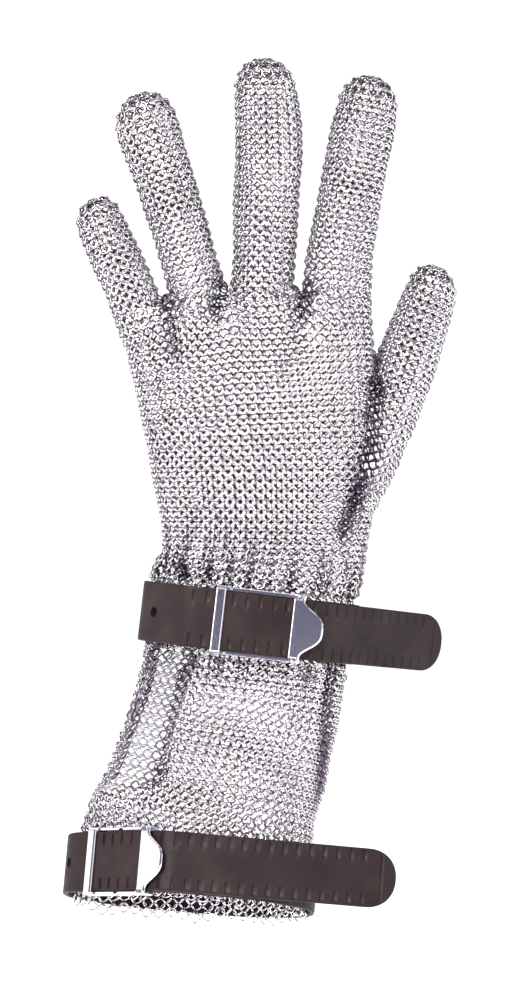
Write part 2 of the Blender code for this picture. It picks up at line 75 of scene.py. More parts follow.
def torus_template():
    """A ring in the XY plane: points, where its wire faces, nearness to a touch, quads."""
    i, k = np.divmod(np.arange(RING_SEGMENTS * WIRE_SEGMENTS), WIRE_SEGMENTS)
    round_ring = 2 * math.pi * i / RING_SEGMENTS
    round_wire = 2 * math.pi * k / WIRE_SEGMENTS
    radial = np.stack([np.cos(round_ring), np.sin(round_ring), 0 * round_ring], axis=1)
    facings = np.cos(round_wire)[:, None] * radial
    facings[:, 2] = np.sin(round_wire)
    points = (RING_OUTSIDE - WIRE) / 2 * radial + WIRE / 2 * facings
    here, there = i * WIRE_SEGMENTS, (i + 1) % RING_SEGMENTS * WIRE_SEGMENTS
    up = (k + 1) % WIRE_SEGMENTS
    quads = np.stack([here + k, there + k, there + up, here + up], axis=1)
    return points, facings, np.abs(np.cos(2 * round_ring)), quads


ring_points, ring_facings, ring_touches, ring_quads = torus_template()
print("one ring:", len(ring_points), "points,", 2 * len(ring_quads), "triangles")

# %% [markdown]
# ## The model's walls as a guide
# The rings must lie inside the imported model's 2 mm walls. A BVH tree finds the nearest
# point of a wall, and stepping half a wall into the material gives the middle of the
# mesh. It is the same from either side of the wall. Only the cut rims of the tubes
# would push points sideways, so their small faces are left out.

# %% Find the middle of the wall
MAIL_NODES = [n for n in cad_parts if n.startswith("mail_")]
RIM_DEPTH = 3.0           # straight through a wall is less than this, through a rim more
RAY_INSET = 0.01          # a ray starts this far inside its own face


def wall_tree(names):
    """A BVH tree, in mm, of the broad faces of some nodes, and each face's node."""
    points, faces, owners = [], [], []
    for name in names:
        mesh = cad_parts[name].data
        first = len(points)
        points += [v.co / MM for v in mesh.vertices]
        faces += [tuple(first + i for i in p.vertices) for p in mesh.polygons]
        owners += [name] * len(mesh.polygons)
    whole = BVHTree.FromPolygons(points, faces)
    broad, kept = [], []
    for face, owner in zip(faces, owners):
        corners = [points[i] for i in face]
        centre = sum(corners, Vector()) / len(corners)
        normal = (corners[1] - corners[0]).cross(corners[2] - corners[0]).normalized()
        depth = whole.ray_cast(centre - RAY_INSET * normal, -normal)[3]
        if depth is not None and depth < RIM_DEPTH:
            broad.append(face)
            kept.append(owner)
    return BVHTree.FromPolygons(points, broad), kept


def on_wall(points):
    """Each point moved to the middle of the nearest wall, and how far it moved."""
    placed = np.empty_like(points)
    for i, point in enumerate(points):
        hit, normal, _, _ = walls.find_nearest(Vector(point))
        placed[i] = hit - WALL_MIDDLE * normal
    return placed, np.linalg.norm(placed - points, axis=1)


walls, wall_owners = wall_tree(MAIL_NODES)
print("guide walls:", len(wall_owners), "faces of", len(MAIL_NODES), "nodes")

# %% [markdown]
# ## A sheet of mesh
# The rings of one kind sit on the corners of a grid of four-sided cells, and the rings
# of the other kind sit in the cells' middles. So the whole weave is one grid that is
# wrapped round the hand: each corner touches four cells, and each ring its four
# neighbours. A grid is grown row by row, and only then evened out.

# %% Grow a grid
class Sheet:
    """Grid corners in mm, and the cells between them: lower left, lower right, up, up."""

    def __init__(self):
        self.points = []
        self.cells = []
        self.pinned = set()

    def row(self, points):
        first = len(self.points)
        self.points += [np.array(p, float) for p in points]
        return list(range(first, len(self.points)))

    def stitch(self, low, high):
        """Cells between two closed rows of as many corners."""
        self.cells += zip(low, low[1:] + low[:1], high[1:] + high[:1], high)


def grow_tube(rows):
    """The grid of a plain tube, and its last row of corners."""
    sheet = Sheet()
    low = sheet.row(rows[0])
    for points in rows[1:]:
        row = sheet.row(points)
        sheet.stitch(low, row)
        low = row
    return sheet, low


# %% [markdown]
# ## Sections of cuff and hand
# A tube of mesh is drawn through a few sections, like the ribs of a boat. A section is
# a superellipse: power 2 is an ellipse, and a higher power is boxier. Its points are
# spaced evenly by length, because rings can't be stretched. Point 0 lies in the middle
# of the back of the hand, and the points run from there towards the thumb.

# %% Section helpers
Section = namedtuple("Section", "x y z half_width half_depth power roll pitch")
FINE = 720                # steps used to measure a section's length
TINY = 1e-9               # keeps a vector without length from dividing by zero
angle_fine = np.arange(FINE) * 2 * math.pi / FINE


def tilt(roll, pitch):
    """Axes of a section: u towards the thumb, v towards the palm, w to the fingers."""
    return np.array(
        Matrix.Rotation(math.radians(roll), 3, "Y") @ Matrix.Rotation(math.radians(-pitch), 3, "X")
    )


def in_section(points, section):
    """The points' u, v and w, from a section's middle."""
    return ((points - np.array(section[:3])) @ tilt(section.roll, section.pitch)).T


def unit(vectors):
    return vectors / np.maximum(np.linalg.norm(vectors, axis=-1, keepdims=True), TINY)


def distances(points):
    """How far each point of a line lies from its first, along the line."""
    return np.concatenate([[0.0], np.cumsum(np.linalg.norm(np.diff(points, axis=0), axis=1))])


def resampled(table, length, wanted):
    """The rows of a table at some wanted lengths."""
    return np.stack([np.interp(wanted, length, column) for column in table.T], axis=1)


def evenly(outline, count, start):
    """Points at equal lengths round a closed outline, the first one start steps along."""
    closed = np.vstack([outline, outline[:1]])
    length = distances(closed)
    wanted = (np.arange(count) + start) * length[-1] / count
    return resampled(closed, length, wanted % length[-1])


def section_row(section, count, start):
    """The section's evenly spaced points, in the middle of the wall."""
    sine, cosine = np.sin(angle_fine), np.cos(angle_fine)
    bow = 2.0 / section.power
    u = (section.half_width - WALL_MIDDLE) * np.sign(sine) * np.abs(sine) ** bow
    v = -(section.half_depth - WALL_MIDDLE) * np.sign(cosine) * np.abs(cosine) ** bow
    flat = evenly(np.stack([u, v, np.zeros(FINE)], axis=1), count, start)
    return np.array(section[:3]) + flat @ tilt(section.roll, section.pitch).T


def blend(rows, count):
    """As many rows of numbers, spread evenly by the distance between their places."""
    table = np.array(rows, float)
    length = distances(table[:, :3])
    return resampled(table, length, np.linspace(0.0, length[-1], count))


def section_rows(sections, count, start):
    """Rows of a tube through some sections, a ring's pitch apart."""
    rows = round((sections[-1].z - sections[0].z) / ALONG) + 1
    return [section_row(Section(*values), count, start) for values in blend(sections, rows)]


# %% [markdown]
# ## The back of the hand runs on into the fingers
# Seen flat, the front of each finger is a strip of the back of the hand that carries
# on. The fingers' other strips come from the palm, and a strip two cells wide closes
# each tube between neighbouring fingers. Two neighbours share the cells' edge at their
# crotch, which is why the mesh bunches there on the real glove too.

# %% Grid of the hand and its four fingers
WRIST = Section(20.4, 11.5, 98.1, 35.8, 24.2, 2.4, 6.6, 1.0)    # under the middle of the strap
HAND_SECTIONS = [
    WRIST,
    Section(21.7, 11.7, 109.0, 35.8, 24.2, 2.4, 6.6, 1.0),      # the strap's upper edge
    Section(23.0, 11.6, 114.6, 37.2, 25.2, 2.2, 4.0, 0.0),
    Section(26.0, 12.0, 123.5, 36.0, 23.6, 2.2, 1.0, 0.0),
    Section(26.6, 12.4, 134.0, 37.6, 22.0, 2.3, 0.0, 0.0),      # heel of the hand
    Section(26.0, 12.6, 151.0, 40.2, 20.4, 2.4, -1.0, 0.0),
    Section(23.4, 12.4, 176.0, 42.0, 18.0, 2.5, -3.0, 0.0),     # palm
    Section(21.2, 12.0, 194.0, 43.6, 16.4, 2.6, -5.0, 0.0),     # knuckles
    Section(20.2, 11.6, 204.5, 43.6, 14.8, 2.6, -6.0, 0.0),     # roots of the fingers
]
# Places along each finger's centreline, with half sizes; the last is the tip. The cells
# of its front, its back and its two outer sides follow the name; 0 stands for a crotch.
Place = namedtuple("Place", "x y z half_width half_depth")
Finger = namedtuple("Finger", "name front back outer_low outer_high places")
FINGERS = [
    Finger("little", 5, 4, 3, 0, [
        Place(-19.4, 11.2, 209.6, 9.5, 9.4), Place(-26.2, 11.2, 226.3, 9.4, 8.8),
        Place(-31.6, 12.6, 237.8, 8.8, 8.4), Place(-34.6, 13.6, 246.2, 0, 0),
    ]),
    Finger("ring", 6, 6, 0, 0, [
        Place(2.9, 11.4, 212.0, 10.6, 10.7), Place(-5.9, 10.6, 242.9, 10.5, 10.0),
        Place(-14.9, 12.8, 270.5, 11.5, 10.0), Place(-18.2, 14.4, 283.2, 0, 0),
    ]),
    Finger("middle", 7, 6, 0, 0, [
        Place(25.3, 11.6, 213.8, 11.6, 11.2), Place(27.0, 10.6, 251.0, 12.2, 10.6),
        Place(26.2, 12.8, 283.0, 11.4, 10.0), Place(25.2, 14.4, 295.4, 0, 0),
    ]),
    Finger("index", 7, 6, 0, 3, [
        Place(51.0, 11.6, 213.8, 12.8, 11.2), Place(56.5, 10.9, 251.0, 11.4, 10.3),
        Place(61.6, 13.2, 277.0, 11.0, 9.8), Place(63.6, 14.8, 289.2, 0, 0),
    ]),
]
CROTCH_CELLS = 2          # cells through the glove between two fingers
ROOT_ROWS = 2             # rows from the last hand section up to the fingers' roots


def finger_row(place, before, after, count, start):
    """A finger's evenly spaced points, square to its run; point 0 is as on the hand."""
    run = unit(np.subtract(after[:3], before[:3]))
    across = unit(np.cross([0.0, 1.0, 0.0], run))
    u = np.outer((place[3] - WALL_MIDDLE) * np.sin(angle_fine), across)
    v = np.outer((place[4] - WALL_MIDDLE) * np.cos(angle_fine), np.cross(run, across))
    return np.array(place[:3]) + evenly(u - v, count, start)


def cells_round(finger):
    sides = (finger.outer_low or CROTCH_CELLS) + (finger.outer_high or CROTCH_CELLS)
    return finger.front + finger.back + sides


def tube_rows(finger):
    """Rows of a finger's tube, a ring's pitch apart, from its first place to its last."""
    places = finger.places[:-1]
    length = distances(np.array(places)[:, :3])[-1]
    table = blend(places, max(2, round(length / ALONG) + 1))
    ends = [table[0], *table, table[-1]]
    return [
        finger_row(place, ends[i], ends[i + 2], cells_round(finger), -finger.front / 2)
        for i, place in enumerate(table)
    ]


def corner_cycles(around):
    """For each finger, the corners round its root: numbers of the hand's last row, or
    ("crotch", which, k) for those in the strip between two fingers."""
    first_front = np.cumsum([0] + [f.front for f in FINGERS])
    first_back = first_front[-1] + FINGERS[-1].outer_high
    first_back = (first_back + np.cumsum([0] + [f.back for f in FINGERS[::-1]]))[::-1]
    strip = range(CROTCH_CELLS - 1)
    cycles = []
    for f, finger in enumerate(FINGERS):
        cycle = list(range(first_front[f], first_front[f] + finger.front + 1))
        if finger.outer_high:
            cycle += range(cycle[-1] + 1, cycle[-1] + finger.outer_high)
        else:
            cycle += [("crotch", f, k) for k in strip]
        cycle += range(first_back[f + 1], first_back[f + 1] + finger.back + 1)
        if finger.outer_low:
            cycle += range(cycle[-1] + 1, cycle[-1] + finger.outer_low)
        else:
            cycle += [("crotch", f - 1, k) for k in reversed(strip)]
        cycles.append([c if isinstance(c, tuple) else c % around for c in cycle])
    return cycles


def grow_hand():
    """The grid of hand and fingers, and the last row of each finger's tube."""
    fronts = sum(f.front for f in FINGERS)
    around = sum(cells_round(f) for f in FINGERS) - 2 * CROTCH_CELLS * (len(FINGERS) - 1)
    sheet, low = grow_tube(section_rows(HAND_SECTIONS, around, -fronts / 2))
    sheet.pinned.update(range(around))
    tubes = [tube_rows(finger) for finger in FINGERS]
    cycles = corner_cycles(around)
    # At the roots, each corner takes its place from the fingers that it is part of.
    shares = {}
    for cycle, tube in zip(cycles, tubes):
        for corner, point in zip(cycle, tube[0]):
            shares.setdefault(corner, []).append(point)
    roots = np.array([np.mean(shares[i], axis=0) for i in range(around)])
    below = np.array([sheet.points[i] for i in low])
    for part in range(1, ROOT_ROWS + 1):
        row = sheet.row(below + (roots - below) * part / ROOT_ROWS)
        sheet.stitch(low, row)
        low = row
    corners = dict(enumerate(low))
    for key in sorted(k for k in shares if isinstance(k, tuple)):
        corners[key] = sheet.row([np.mean(shares[key], axis=0)])[0]
    ends = []
    for cycle, tube in zip(cycles, tubes):
        low = [corners[c] for c in cycle]
        for points in tube[1:]:
            row = sheet.row(points)
            sheet.stitch(low, row)
            low = row
        ends.append(low)
    return sheet, ends


hand_sheet, finger_ends = grow_hand()
print("hand and fingers:", len(hand_sheet.points), "corners,", len(hand_sheet.cells), "cells")

# %% [markdown]
# ## Evening the grid out
# Real mesh slides until its rings share the strain. Here each edge of the grid acts as a
# weak spring with a ring's pitch as its length, and after each round of springs every
# corner goes back to the middle of the model's wall. Only the rows under the wrist strap
# stay where they are. A corner that starts too far from any wall, such as over the root
# of the thumb, only holds its neighbours and gets no ring.

# %% Even out a grid
ROUNDS = 60
STIFFNESS = 0.5
SLACK = (0.92, 1.08)      # a spring keeps the length it has, within these parts of a pitch
OFF_WALL = 2.0            # over the root of the thumb, mesh ends this far from a wall
OFF_GUIDE = 3.0           # elsewhere the grid may start this far from the wall's middle
OFF_FLAT = 12.0           # and the cuff's this far, as the wall is flattened under a buckle
SHOWN = (5, 50, 95)       # percentiles of the springs' strain to print


def edges_of(cells, points):
    """Unique pairs of corners across and along the cells, with their rest lengths."""
    across = np.vstack([cells[:, [0, 1]], cells[:, [3, 2]]])
    along = np.vstack([cells[:, [0, 3]], cells[:, [1, 2]]])
    pairs, rest = [], []
    for found, pitch in ((across, ACROSS), (along, ALONG)):
        found = np.unique(np.sort(found, axis=1), axis=0)
        length = np.linalg.norm(points[found[:, 1]] - points[found[:, 0]], axis=1)
        pairs.append(found)
        rest.append(np.clip(length, SLACK[0] * pitch, SLACK[1] * pitch))
    return np.vstack(pairs), np.concatenate(rest)


def even_out(sheet, reach):
    """The corners' final places, and which of them lie on a wall."""
    points = np.array(sheet.points)
    placed, moved = on_wall(points)
    solid = moved < reach
    loose = np.ones(len(points), bool)
    loose[list(sheet.pinned)] = False
    points[solid] = placed[solid]
    pairs, rest = edges_of(np.array(sheet.cells), points)
    shares = np.maximum(np.bincount(pairs.ravel(), minlength=len(points)), 1)[:, None]
    for _ in range(ROUNDS):
        run = points[pairs[:, 1]] - points[pairs[:, 0]]
        length = np.linalg.norm(run, axis=1)
        pull = run * ((length - rest) / length * STIFFNESS)[:, None]
        shift = np.zeros_like(points)
        np.add.at(shift, pairs[:, 0], pull)
        np.add.at(shift, pairs[:, 1], -pull)
        points[loose] += (shift / shares)[loose]
        free = loose & solid
        points[free] = on_wall(points[free])[0]
    length = np.linalg.norm(points[pairs[:, 1]] - points[pairs[:, 0]], axis=1)
    print(f"  pitch over rest at {SHOWN} %: {np.percentile(length / rest, SHOWN).round(2)}")
    return points, solid


# %% [markdown]
# ## From grid to rings
# Every ring needs a centre and three directions: across its row, along the glove and
# out of the surface. A cell gives them from its own edges, and a corner averages those
# of the cells that meet in it.

# %% Ring places
Rings = namedtuple("Rings", "centre across along out kind")
WHOLE_CELL = 3            # a cell has a ring if at least so many of its corners lie on a wall


def cell_runs(sheet, points):
    """The cells' corners, their middles, and their runs across and along."""
    cells = np.array(sheet.cells)
    a, b, c, d = points[cells.T]
    return cells, (a + b + c + d) / 4, b - a + c - d, d - a + c - b


def at_corners(cells, values, count):
    """For each corner, the sum over the cells that meet in it."""
    total = np.zeros((count, 3))
    for corners in cells.T:
        np.add.at(total, corners, values)
    return total


def rings_of(sheet, points, solid):
    """Rings at the grid's corners (kind 1) and in its cells (kind -1)."""
    cells, middle, across, along = cell_runs(sheet, points)
    across, along = unit(across), unit(along)
    used = solid & (np.bincount(cells.ravel(), minlength=len(points)) > 0)
    whole = solid[cells].sum(axis=1) >= WHOLE_CELL
    axes = [
        np.vstack([unit(at_corners(cells, axis, len(points)))[used], axis[whole]])
        for axis in (across, along, unit(np.cross(across, along)))
    ]
    kind = np.concatenate([np.ones(used.sum()), -np.ones(whole.sum())])
    return Rings(np.vstack([points[used], middle[whole]]), *axes, kind)


def joined(groups):
    return Rings(*[np.concatenate(parts) for parts in zip(*groups)])


# %% [markdown]
# ## Folds and gathers
# Mesh hangs by its own weight, so it never lies quite flat. It swells and sinks by half a
# millimetre, gathers into narrow pleats where the wrist strap pulls it in, and is drawn
# into creases below the crotches of the fingers and beside the root of the thumb. Each
# is a height along the grid's own normal, low enough for the rings to stay linked.

# %% Folds and gathers
SWELL = 0.5               # mm, of the broad unevenness
SWELL_SIZE = 15.0
PLEATS = 21               # round the wrist
PLEAT_DRIFT = 3.0         # radians, how unevenly the pleats are spaced
PLEAT_HEIGHT = 1.6
PLEAT_ONSET = 3.0         # mm, a pleat rises over this length from the strap
PLEAT_REACH = (13.0, 6.0)  # mm, pleats fade out this far above and below the strap
STRAP_EDGE = 10.6         # mm from the middle of the strap
CREASE_FADE = 2.0         # how fast creases fade where the mesh turns to the side
Crease = namedtuple("Crease", "x_low z_low x_high z_high width depth")
CREASES = [
    Crease(-5.2, 192.0, -9.2, 214.0, 2.8, 1.5),    # little finger
    Crease(8.4, 206.0, 10.4, 216.0, 3.4, 1.8),     # ring finger
    Crease(39.4, 206.0, 39.4, 216.0, 3.4, 1.8), Crease(31.5, 184.0, 38.0, 208.0, 2.6, 0.7),
    Crease(53.6, 130.0, 62.0, 155.0, 3.6, 1.7), Crease(62.0, 155.0, 65.0, 180.0, 3.4, 1.8),
    Crease(65.0, 180.0, 64.5, 200.0, 2.6, 0.9),    # beside the thumb
    Crease(-11.0, 119.0, 6.0, 113.0, 2.8, 1.6),    # above the wrist strap,
    Crease(-13.0, 109.5, 2.0, 108.5, 3.4, -2.6),   # where the mesh bulges over its edge
    Crease(44.2, 34.0, 48.8, 90.0, 2.6, 1.5),      # down the side of the cuff
]


def creases_at(points, out):
    """Depth in mm below the even surface, on the side of the back of the hand."""
    depth = np.zeros(len(points))
    flat = points[:, [0, 2]]
    for crease in CREASES:
        low, high = np.array(crease[:2]), np.array(crease[2:4])
        run = high - low
        part = np.clip((flat - low) @ run / (run @ run), 0.0, 1.0)
        away = np.linalg.norm(flat - low - part[:, None] * run, axis=1)
        depth += crease.depth * np.exp(-((away / crease.width) ** 2))
    return depth * np.clip(-CREASE_FADE * out[:, 1], 0.0, 1.0)


def drift_at(points, size):
    """Smooth unevenness of about a size in mm, between -1 and 1."""
    return np.array([noise.noise(Vector(p) / size) for p in points])


def pleats_at(points):
    """Height in mm of the pleats above and below the wrist strap."""
    u, v, w = in_section(points, WRIST)
    wave = np.sin(PLEATS * np.arctan2(u, -v) + PLEAT_DRIFT * drift_at(points, SWELL_SIZE))
    height = np.zeros(len(points))
    for side, reach in zip((1, -1), PLEAT_REACH):
        away = side * w - STRAP_EDGE
        rise = np.minimum(away / PLEAT_ONSET, 1.0) * np.exp(-away / reach)
        height += np.where(away > 0, rise, 0.0)
    return PLEAT_HEIGHT * wave * height


def crumpled(sheet, points):
    """The grid's corners with swells, pleats and creases."""
    cells, _, across, along = cell_runs(sheet, points)
    out = unit(at_corners(cells, np.cross(across, along), len(points)))
    swell = SWELL * drift_at(points, SWELL_SIZE)
    height = swell + pleats_at(points) - creases_at(points, out)
    return points + height[:, None] * out


# %% [markdown]
# ## Fingertips
# Towards the tip the makers leave rings out, so each row is shorter than the one below.
# A tip is drawn as rows on a rounded end, set by its height, each with as many rings as
# its own girth takes.

# %% Round tips
TIP_ROWS = 1.2            # rows in a tip, for each half pitch of its height
TIP_BLUNTNESS = 0.78      # 1 gives half an ellipse, less a blunter tip
TIP_LEFT = 0.5            # rows left out at the very end, where no ring fits


def fingertip(finger, points, end):
    """Rings over the end of a finger's tube, from its last row of corners to its tip."""
    rim, below = points[end], points[[i - len(end) for i in end]]
    centre = rim.mean(axis=0)
    run = unit(centre - below.mean(axis=0))
    reach = np.array(finger.places[-1][:3]) - centre
    reach *= 1.0 - WALL_MIDDLE / np.linalg.norm(reach)
    rows = round(np.linalg.norm(reach) * TIP_ROWS / (ALONG / 2))
    numbers = np.arange(len(rim))
    found = []
    for k in range(1, rows + 1):
        rise = math.pi / 2 * k / (rows + TIP_LEFT)
        girth = math.cos(rise) ** TIP_BLUNTNESS
        count = max(3, round(len(rim) * girth))
        turn = (np.arange(count) + k / 2) * len(rim) / count
        spoke = np.stack(
            [np.interp(turn, numbers, c, period=len(rim)) for c in (rim - centre).T], axis=1
        )
        radial = unit(spoke)
        along = unit(run * math.cos(rise) - radial * math.sin(rise))
        out = unit(radial * math.cos(rise) + run * math.sin(rise))
        found.append(Rings(
            centre + spoke * girth + reach * math.sin(rise),
            np.cross(along, out), along, out, np.full(count, (-1.0) ** k),
        ))
    return joined(found)


THUMB_SIDE = (44.0, 196.0)   # the thumb's root lies beyond this x and below this z
hand_x, _, hand_z = np.array(hand_sheet.points).T
near_thumb = (hand_x > THUMB_SIDE[0]) & (hand_z < THUMB_SIDE[1])
hand_points, hand_solid = even_out(hand_sheet, np.where(near_thumb, OFF_WALL, OFF_GUIDE))
hand_points = crumpled(hand_sheet, hand_points)
hand_rings = rings_of(hand_sheet, hand_points, hand_solid)
tips = [fingertip(finger, hand_points, end) for finger, end in zip(FINGERS, finger_ends)]
print("hand and fingers:", len(hand_rings.kind), "rings,", len(joined(tips).kind), "more in tips")

# %% [markdown]
# ## Thumb and cuff
# The thumb is a tube of its own that is let into the side of the hand. The two overlap a
# little at its root, which gives a dense, dark groove. The cuff is one more tube, from
# the wrist strap down to the hem. Its slit, on the side of the little finger, is cut out
# along an outline, and the last rings before the slit curl inwards.

# %% Grids of thumb and cuff
THUMB = Finger("thumb", 7, 6, 0, 0, [
    Place(52.0, 13.0, 141.0, 13.2, 15.0), Place(57.6, 13.6, 151.3, 13.6, 15.0),
    Place(62.4, 14.4, 159.6, 13.0, 14.2), Place(66.4, 15.4, 168.0, 12.4, 13.2),
    Place(73.9, 17.4, 184.6, 11.4, 11.6), Place(79.8, 19.6, 201.3, 10.7, 10.4),
    Place(84.5, 21.8, 213.6, 9.4, 9.2), Place(86.9, 23.4, 222.8, 0, 0),
])
HEM = Section(-0.1, -1.0, 0.2, 41.2, 32.2, 2.4, 4.9, 10.5)
CUFF_SECTIONS = [
    HEM,
    Section(1.7, 3.0, 21.8, 41.2, 32.2, 2.4, 4.9, 10.5),        # the cuff strap's upper edge
    Section(4.2, 5.8, 33.0, 39.6, 31.5, 2.2, 6.0, 9.5),
    Section(9.2, 8.0, 46.5, 38.9, 30.0, 2.2, 8.0, 8.0),         # forearm
    Section(15.4, 10.2, 67.0, 37.0, 27.6, 2.2, 8.0, 5.0),
    Section(18.2, 11.0, 80.5, 36.0, 25.4, 2.2, 7.0, 2.5),
    WRIST,
]
CUFF_AROUND = 55          # rings round the cuff
HEM_DROP = 3.0            # mm, how unevenly the hem hangs
HEM_WAVE = 9.0
HEM_REACH = 9.0
CURL_LENGTH = 7.0         # mm of mesh that curls inwards along the slit
CURL_RADIUS = 5.0
SLIT = [(-1.6, 91.5), (-14.2, 44.6), (-27.5, 38.0), (-60.0, 35.0), (-60.0, 91.5)]  # x, z
SLIT_BACK = 8.5           # the slit ends at this depth


def cut_open(sheet):
    """Leaves out the cells whose middles lie in the slit, seen from the back of the hand."""
    x, y, z = np.array(sheet.points)[np.array(sheet.cells)].mean(axis=1).T
    crossings = np.zeros(len(x), int)
    for (x_from, z_from), (x_to, z_to) in zip(SLIT, SLIT[1:] + SLIT[:1]):
        if z_from != z_to:
            spans = (z_from > z) != (z_to > z)
            crossings += spans & (x < x_from + (z - z_from) * (x_to - x_from) / (z_to - z_from))
    kept = (crossings % 2 == 0) | (y >= SLIT_BACK)
    sheet.cells = [cell for cell, keep in zip(sheet.cells, kept) if keep]


def ragged(points):
    """Lets the mesh at the hem hang unevenly."""
    fade = np.clip(1 - in_section(points, HEM)[2] / HEM_REACH, 0.0, 1.0)
    drop = HEM_DROP * drift_at(points, HEM_WAVE) * fade
    return points - drop[:, None] * tilt(HEM.roll, HEM.pitch)[:, 2]


def slit_edge(sheet, points):
    """Corners along the slit, which fewer than four cells share."""
    shared = np.bincount(np.array(sheet.cells).ravel(), minlength=len(points))
    below_strap = in_section(points, WRIST)[2] < -CURL_LENGTH
    above_hem = in_section(points, HEM)[2] > CURL_LENGTH
    border = (shared > 0) & (shared < 4) & below_strap & above_hem
    return points[border & (points[:, 2] > SLIT[1][1])]


def curled(rings, edge):
    """Turns the last rings before an edge inwards, round a small arc."""
    centre, across, along, out = (np.array(v) for v in rings[:4])
    gaps = edge[None] - centre[:, None]
    nearest = np.argmin(np.linalg.norm(gaps, axis=2), axis=1)
    gap = gaps[np.arange(len(centre)), nearest]
    away = np.linalg.norm(gap, axis=1)
    towards = unit(gap - np.sum(gap * out, axis=1)[:, None] * out)
    bent = np.clip(CURL_LENGTH - away, 0.0, None)
    angle = bent / CURL_RADIUS
    centre += (CURL_RADIUS * np.sin(angle) - bent)[:, None] * towards
    centre -= (CURL_RADIUS * (1 - np.cos(angle)))[:, None] * out
    for axis in (across, along, out):
        part = np.sum(axis * towards, axis=1)
        through = np.sum(axis * out, axis=1)
        axis += (part * (np.cos(angle) - 1) + through * np.sin(angle))[:, None] * towards
        axis += (through * (np.cos(angle) - 1) - part * np.sin(angle))[:, None] * out
    return rings._replace(centre=centre, across=across, along=along, out=out)


thumb_sheet, thumb_end = grow_tube(tube_rows(THUMB))
cuff_sheet, cuff_top = grow_tube(section_rows(CUFF_SECTIONS, CUFF_AROUND, 0.0))
cuff_sheet.pinned.update(cuff_top)
cut_open(cuff_sheet)
thumb_points, thumb_solid = even_out(thumb_sheet, OFF_WALL)
cuff_points, cuff_solid = even_out(cuff_sheet, OFF_FLAT)
thumb_points = crumpled(thumb_sheet, thumb_points)
cuff_points = ragged(crumpled(cuff_sheet, cuff_points))
thumb_rings = rings_of(thumb_sheet, thumb_points, thumb_solid)
cuff_rings = rings_of(cuff_sheet, cuff_points, cuff_solid)
cuff_rings = curled(cuff_rings, slit_edge(cuff_sheet, cuff_points))
tips.append(fingertip(THUMB, thumb_points, thumb_end))
all_rings = joined([hand_rings, thumb_rings, cuff_rings, *tips])
print("all rings:", len(all_rings.kind))

# %% [markdown]
# ## Materials
# Each finish starts as a Principled shader with typical values for the real material.
# Colours are written as sRGB hex values, the way a colour picker shows them, and turned
# to the linear values that the shader works with. One small function adds a node.

# %% Material helpers
def linear(hex_colour):
    """A #rrggbb colour as linear RGBA."""
    values = [int(hex_colour[i:i + 2], 16) / 255 for i in (1, 3, 5)]
    return (*[v / 12.92 if v <= 0.04045 else ((v + 0.055) / 1.055) ** 2.4 for v in values], 1.0)


def add_node(material, kind, settings=None, links=None):
    """A node with its settings, by attribute, input or "stops" of position and hex
    colour, and its inputs linked to sockets."""
    node = material.node_tree.nodes.new(kind)
    for name, value in (settings or {}).items():
        if name == "stops":
            elements = node.color_ramp.elements
            for element, (place, colour) in zip(elements, (value[0], value[-1])):
                element.position = place
                element.color = linear(colour)
            for place, colour in value[1:-1]:
                elements.new(place).color = linear(colour)
        elif isinstance(name, int) or name in node.inputs:
            node.inputs[name].default_value = value
        else:
            setattr(node, name, value)
    for name, socket in (links or {}).items():
        material.node_tree.links.new(socket, node.inputs[name])
    return node


def new_material(name, colour, roughness, metallic=0.0):
    """A Principled material, and its shader."""
    material = bpy.data.materials.new(name)
    material.use_nodes = True
    shader = material.node_tree.nodes["Principled BSDF"]
    shader.inputs["Base Color"].default_value = linear(colour)
    shader.inputs["Roughness"].default_value = roughness
    shader.inputs["Metallic"].default_value = metallic
    return material, shader


def dress(material, shader, tint, rough, bump):
    """Links colour, roughness and normal to a shader."""
    for name, socket in (("Base Color", tint), ("Roughness", rough), ("Normal", bump)):
        material.node_tree.links.new(socket, shader.inputs[name])


# Settings of a Mix node that multiplies two colours: its inputs 6 and 7, and output 2.
MULTIPLY = {"data_type": "RGBA", "blend_type": "MULTIPLY", "Factor": 1.0}

# %% [markdown]
# ## Stainless wire
# The rings are 18/8 stainless wire, welded one by one and then tumbled with steel shot
# until they shine. The eye sees bright white lines with near-black gaps. Tumbling leaves
# faint dents about half a millimetre across, and each ring has taken it a little
# differently, so its colour drifts over a few millimetres. Shade is painted into the
# wire's colour on its flanks, on its inner side under cover of the opposite wall, near
# the four places where a ring touches others, and in the folds. On the inner side the
# wire is also rougher, and its painted shade a little warmer.

# %% Tumbled stainless wire
RING_PATCH = 4.0          # mm, colour drifts from ring to ring
TUMBLE_DENT = 0.5         # mm, dents of the steel shot


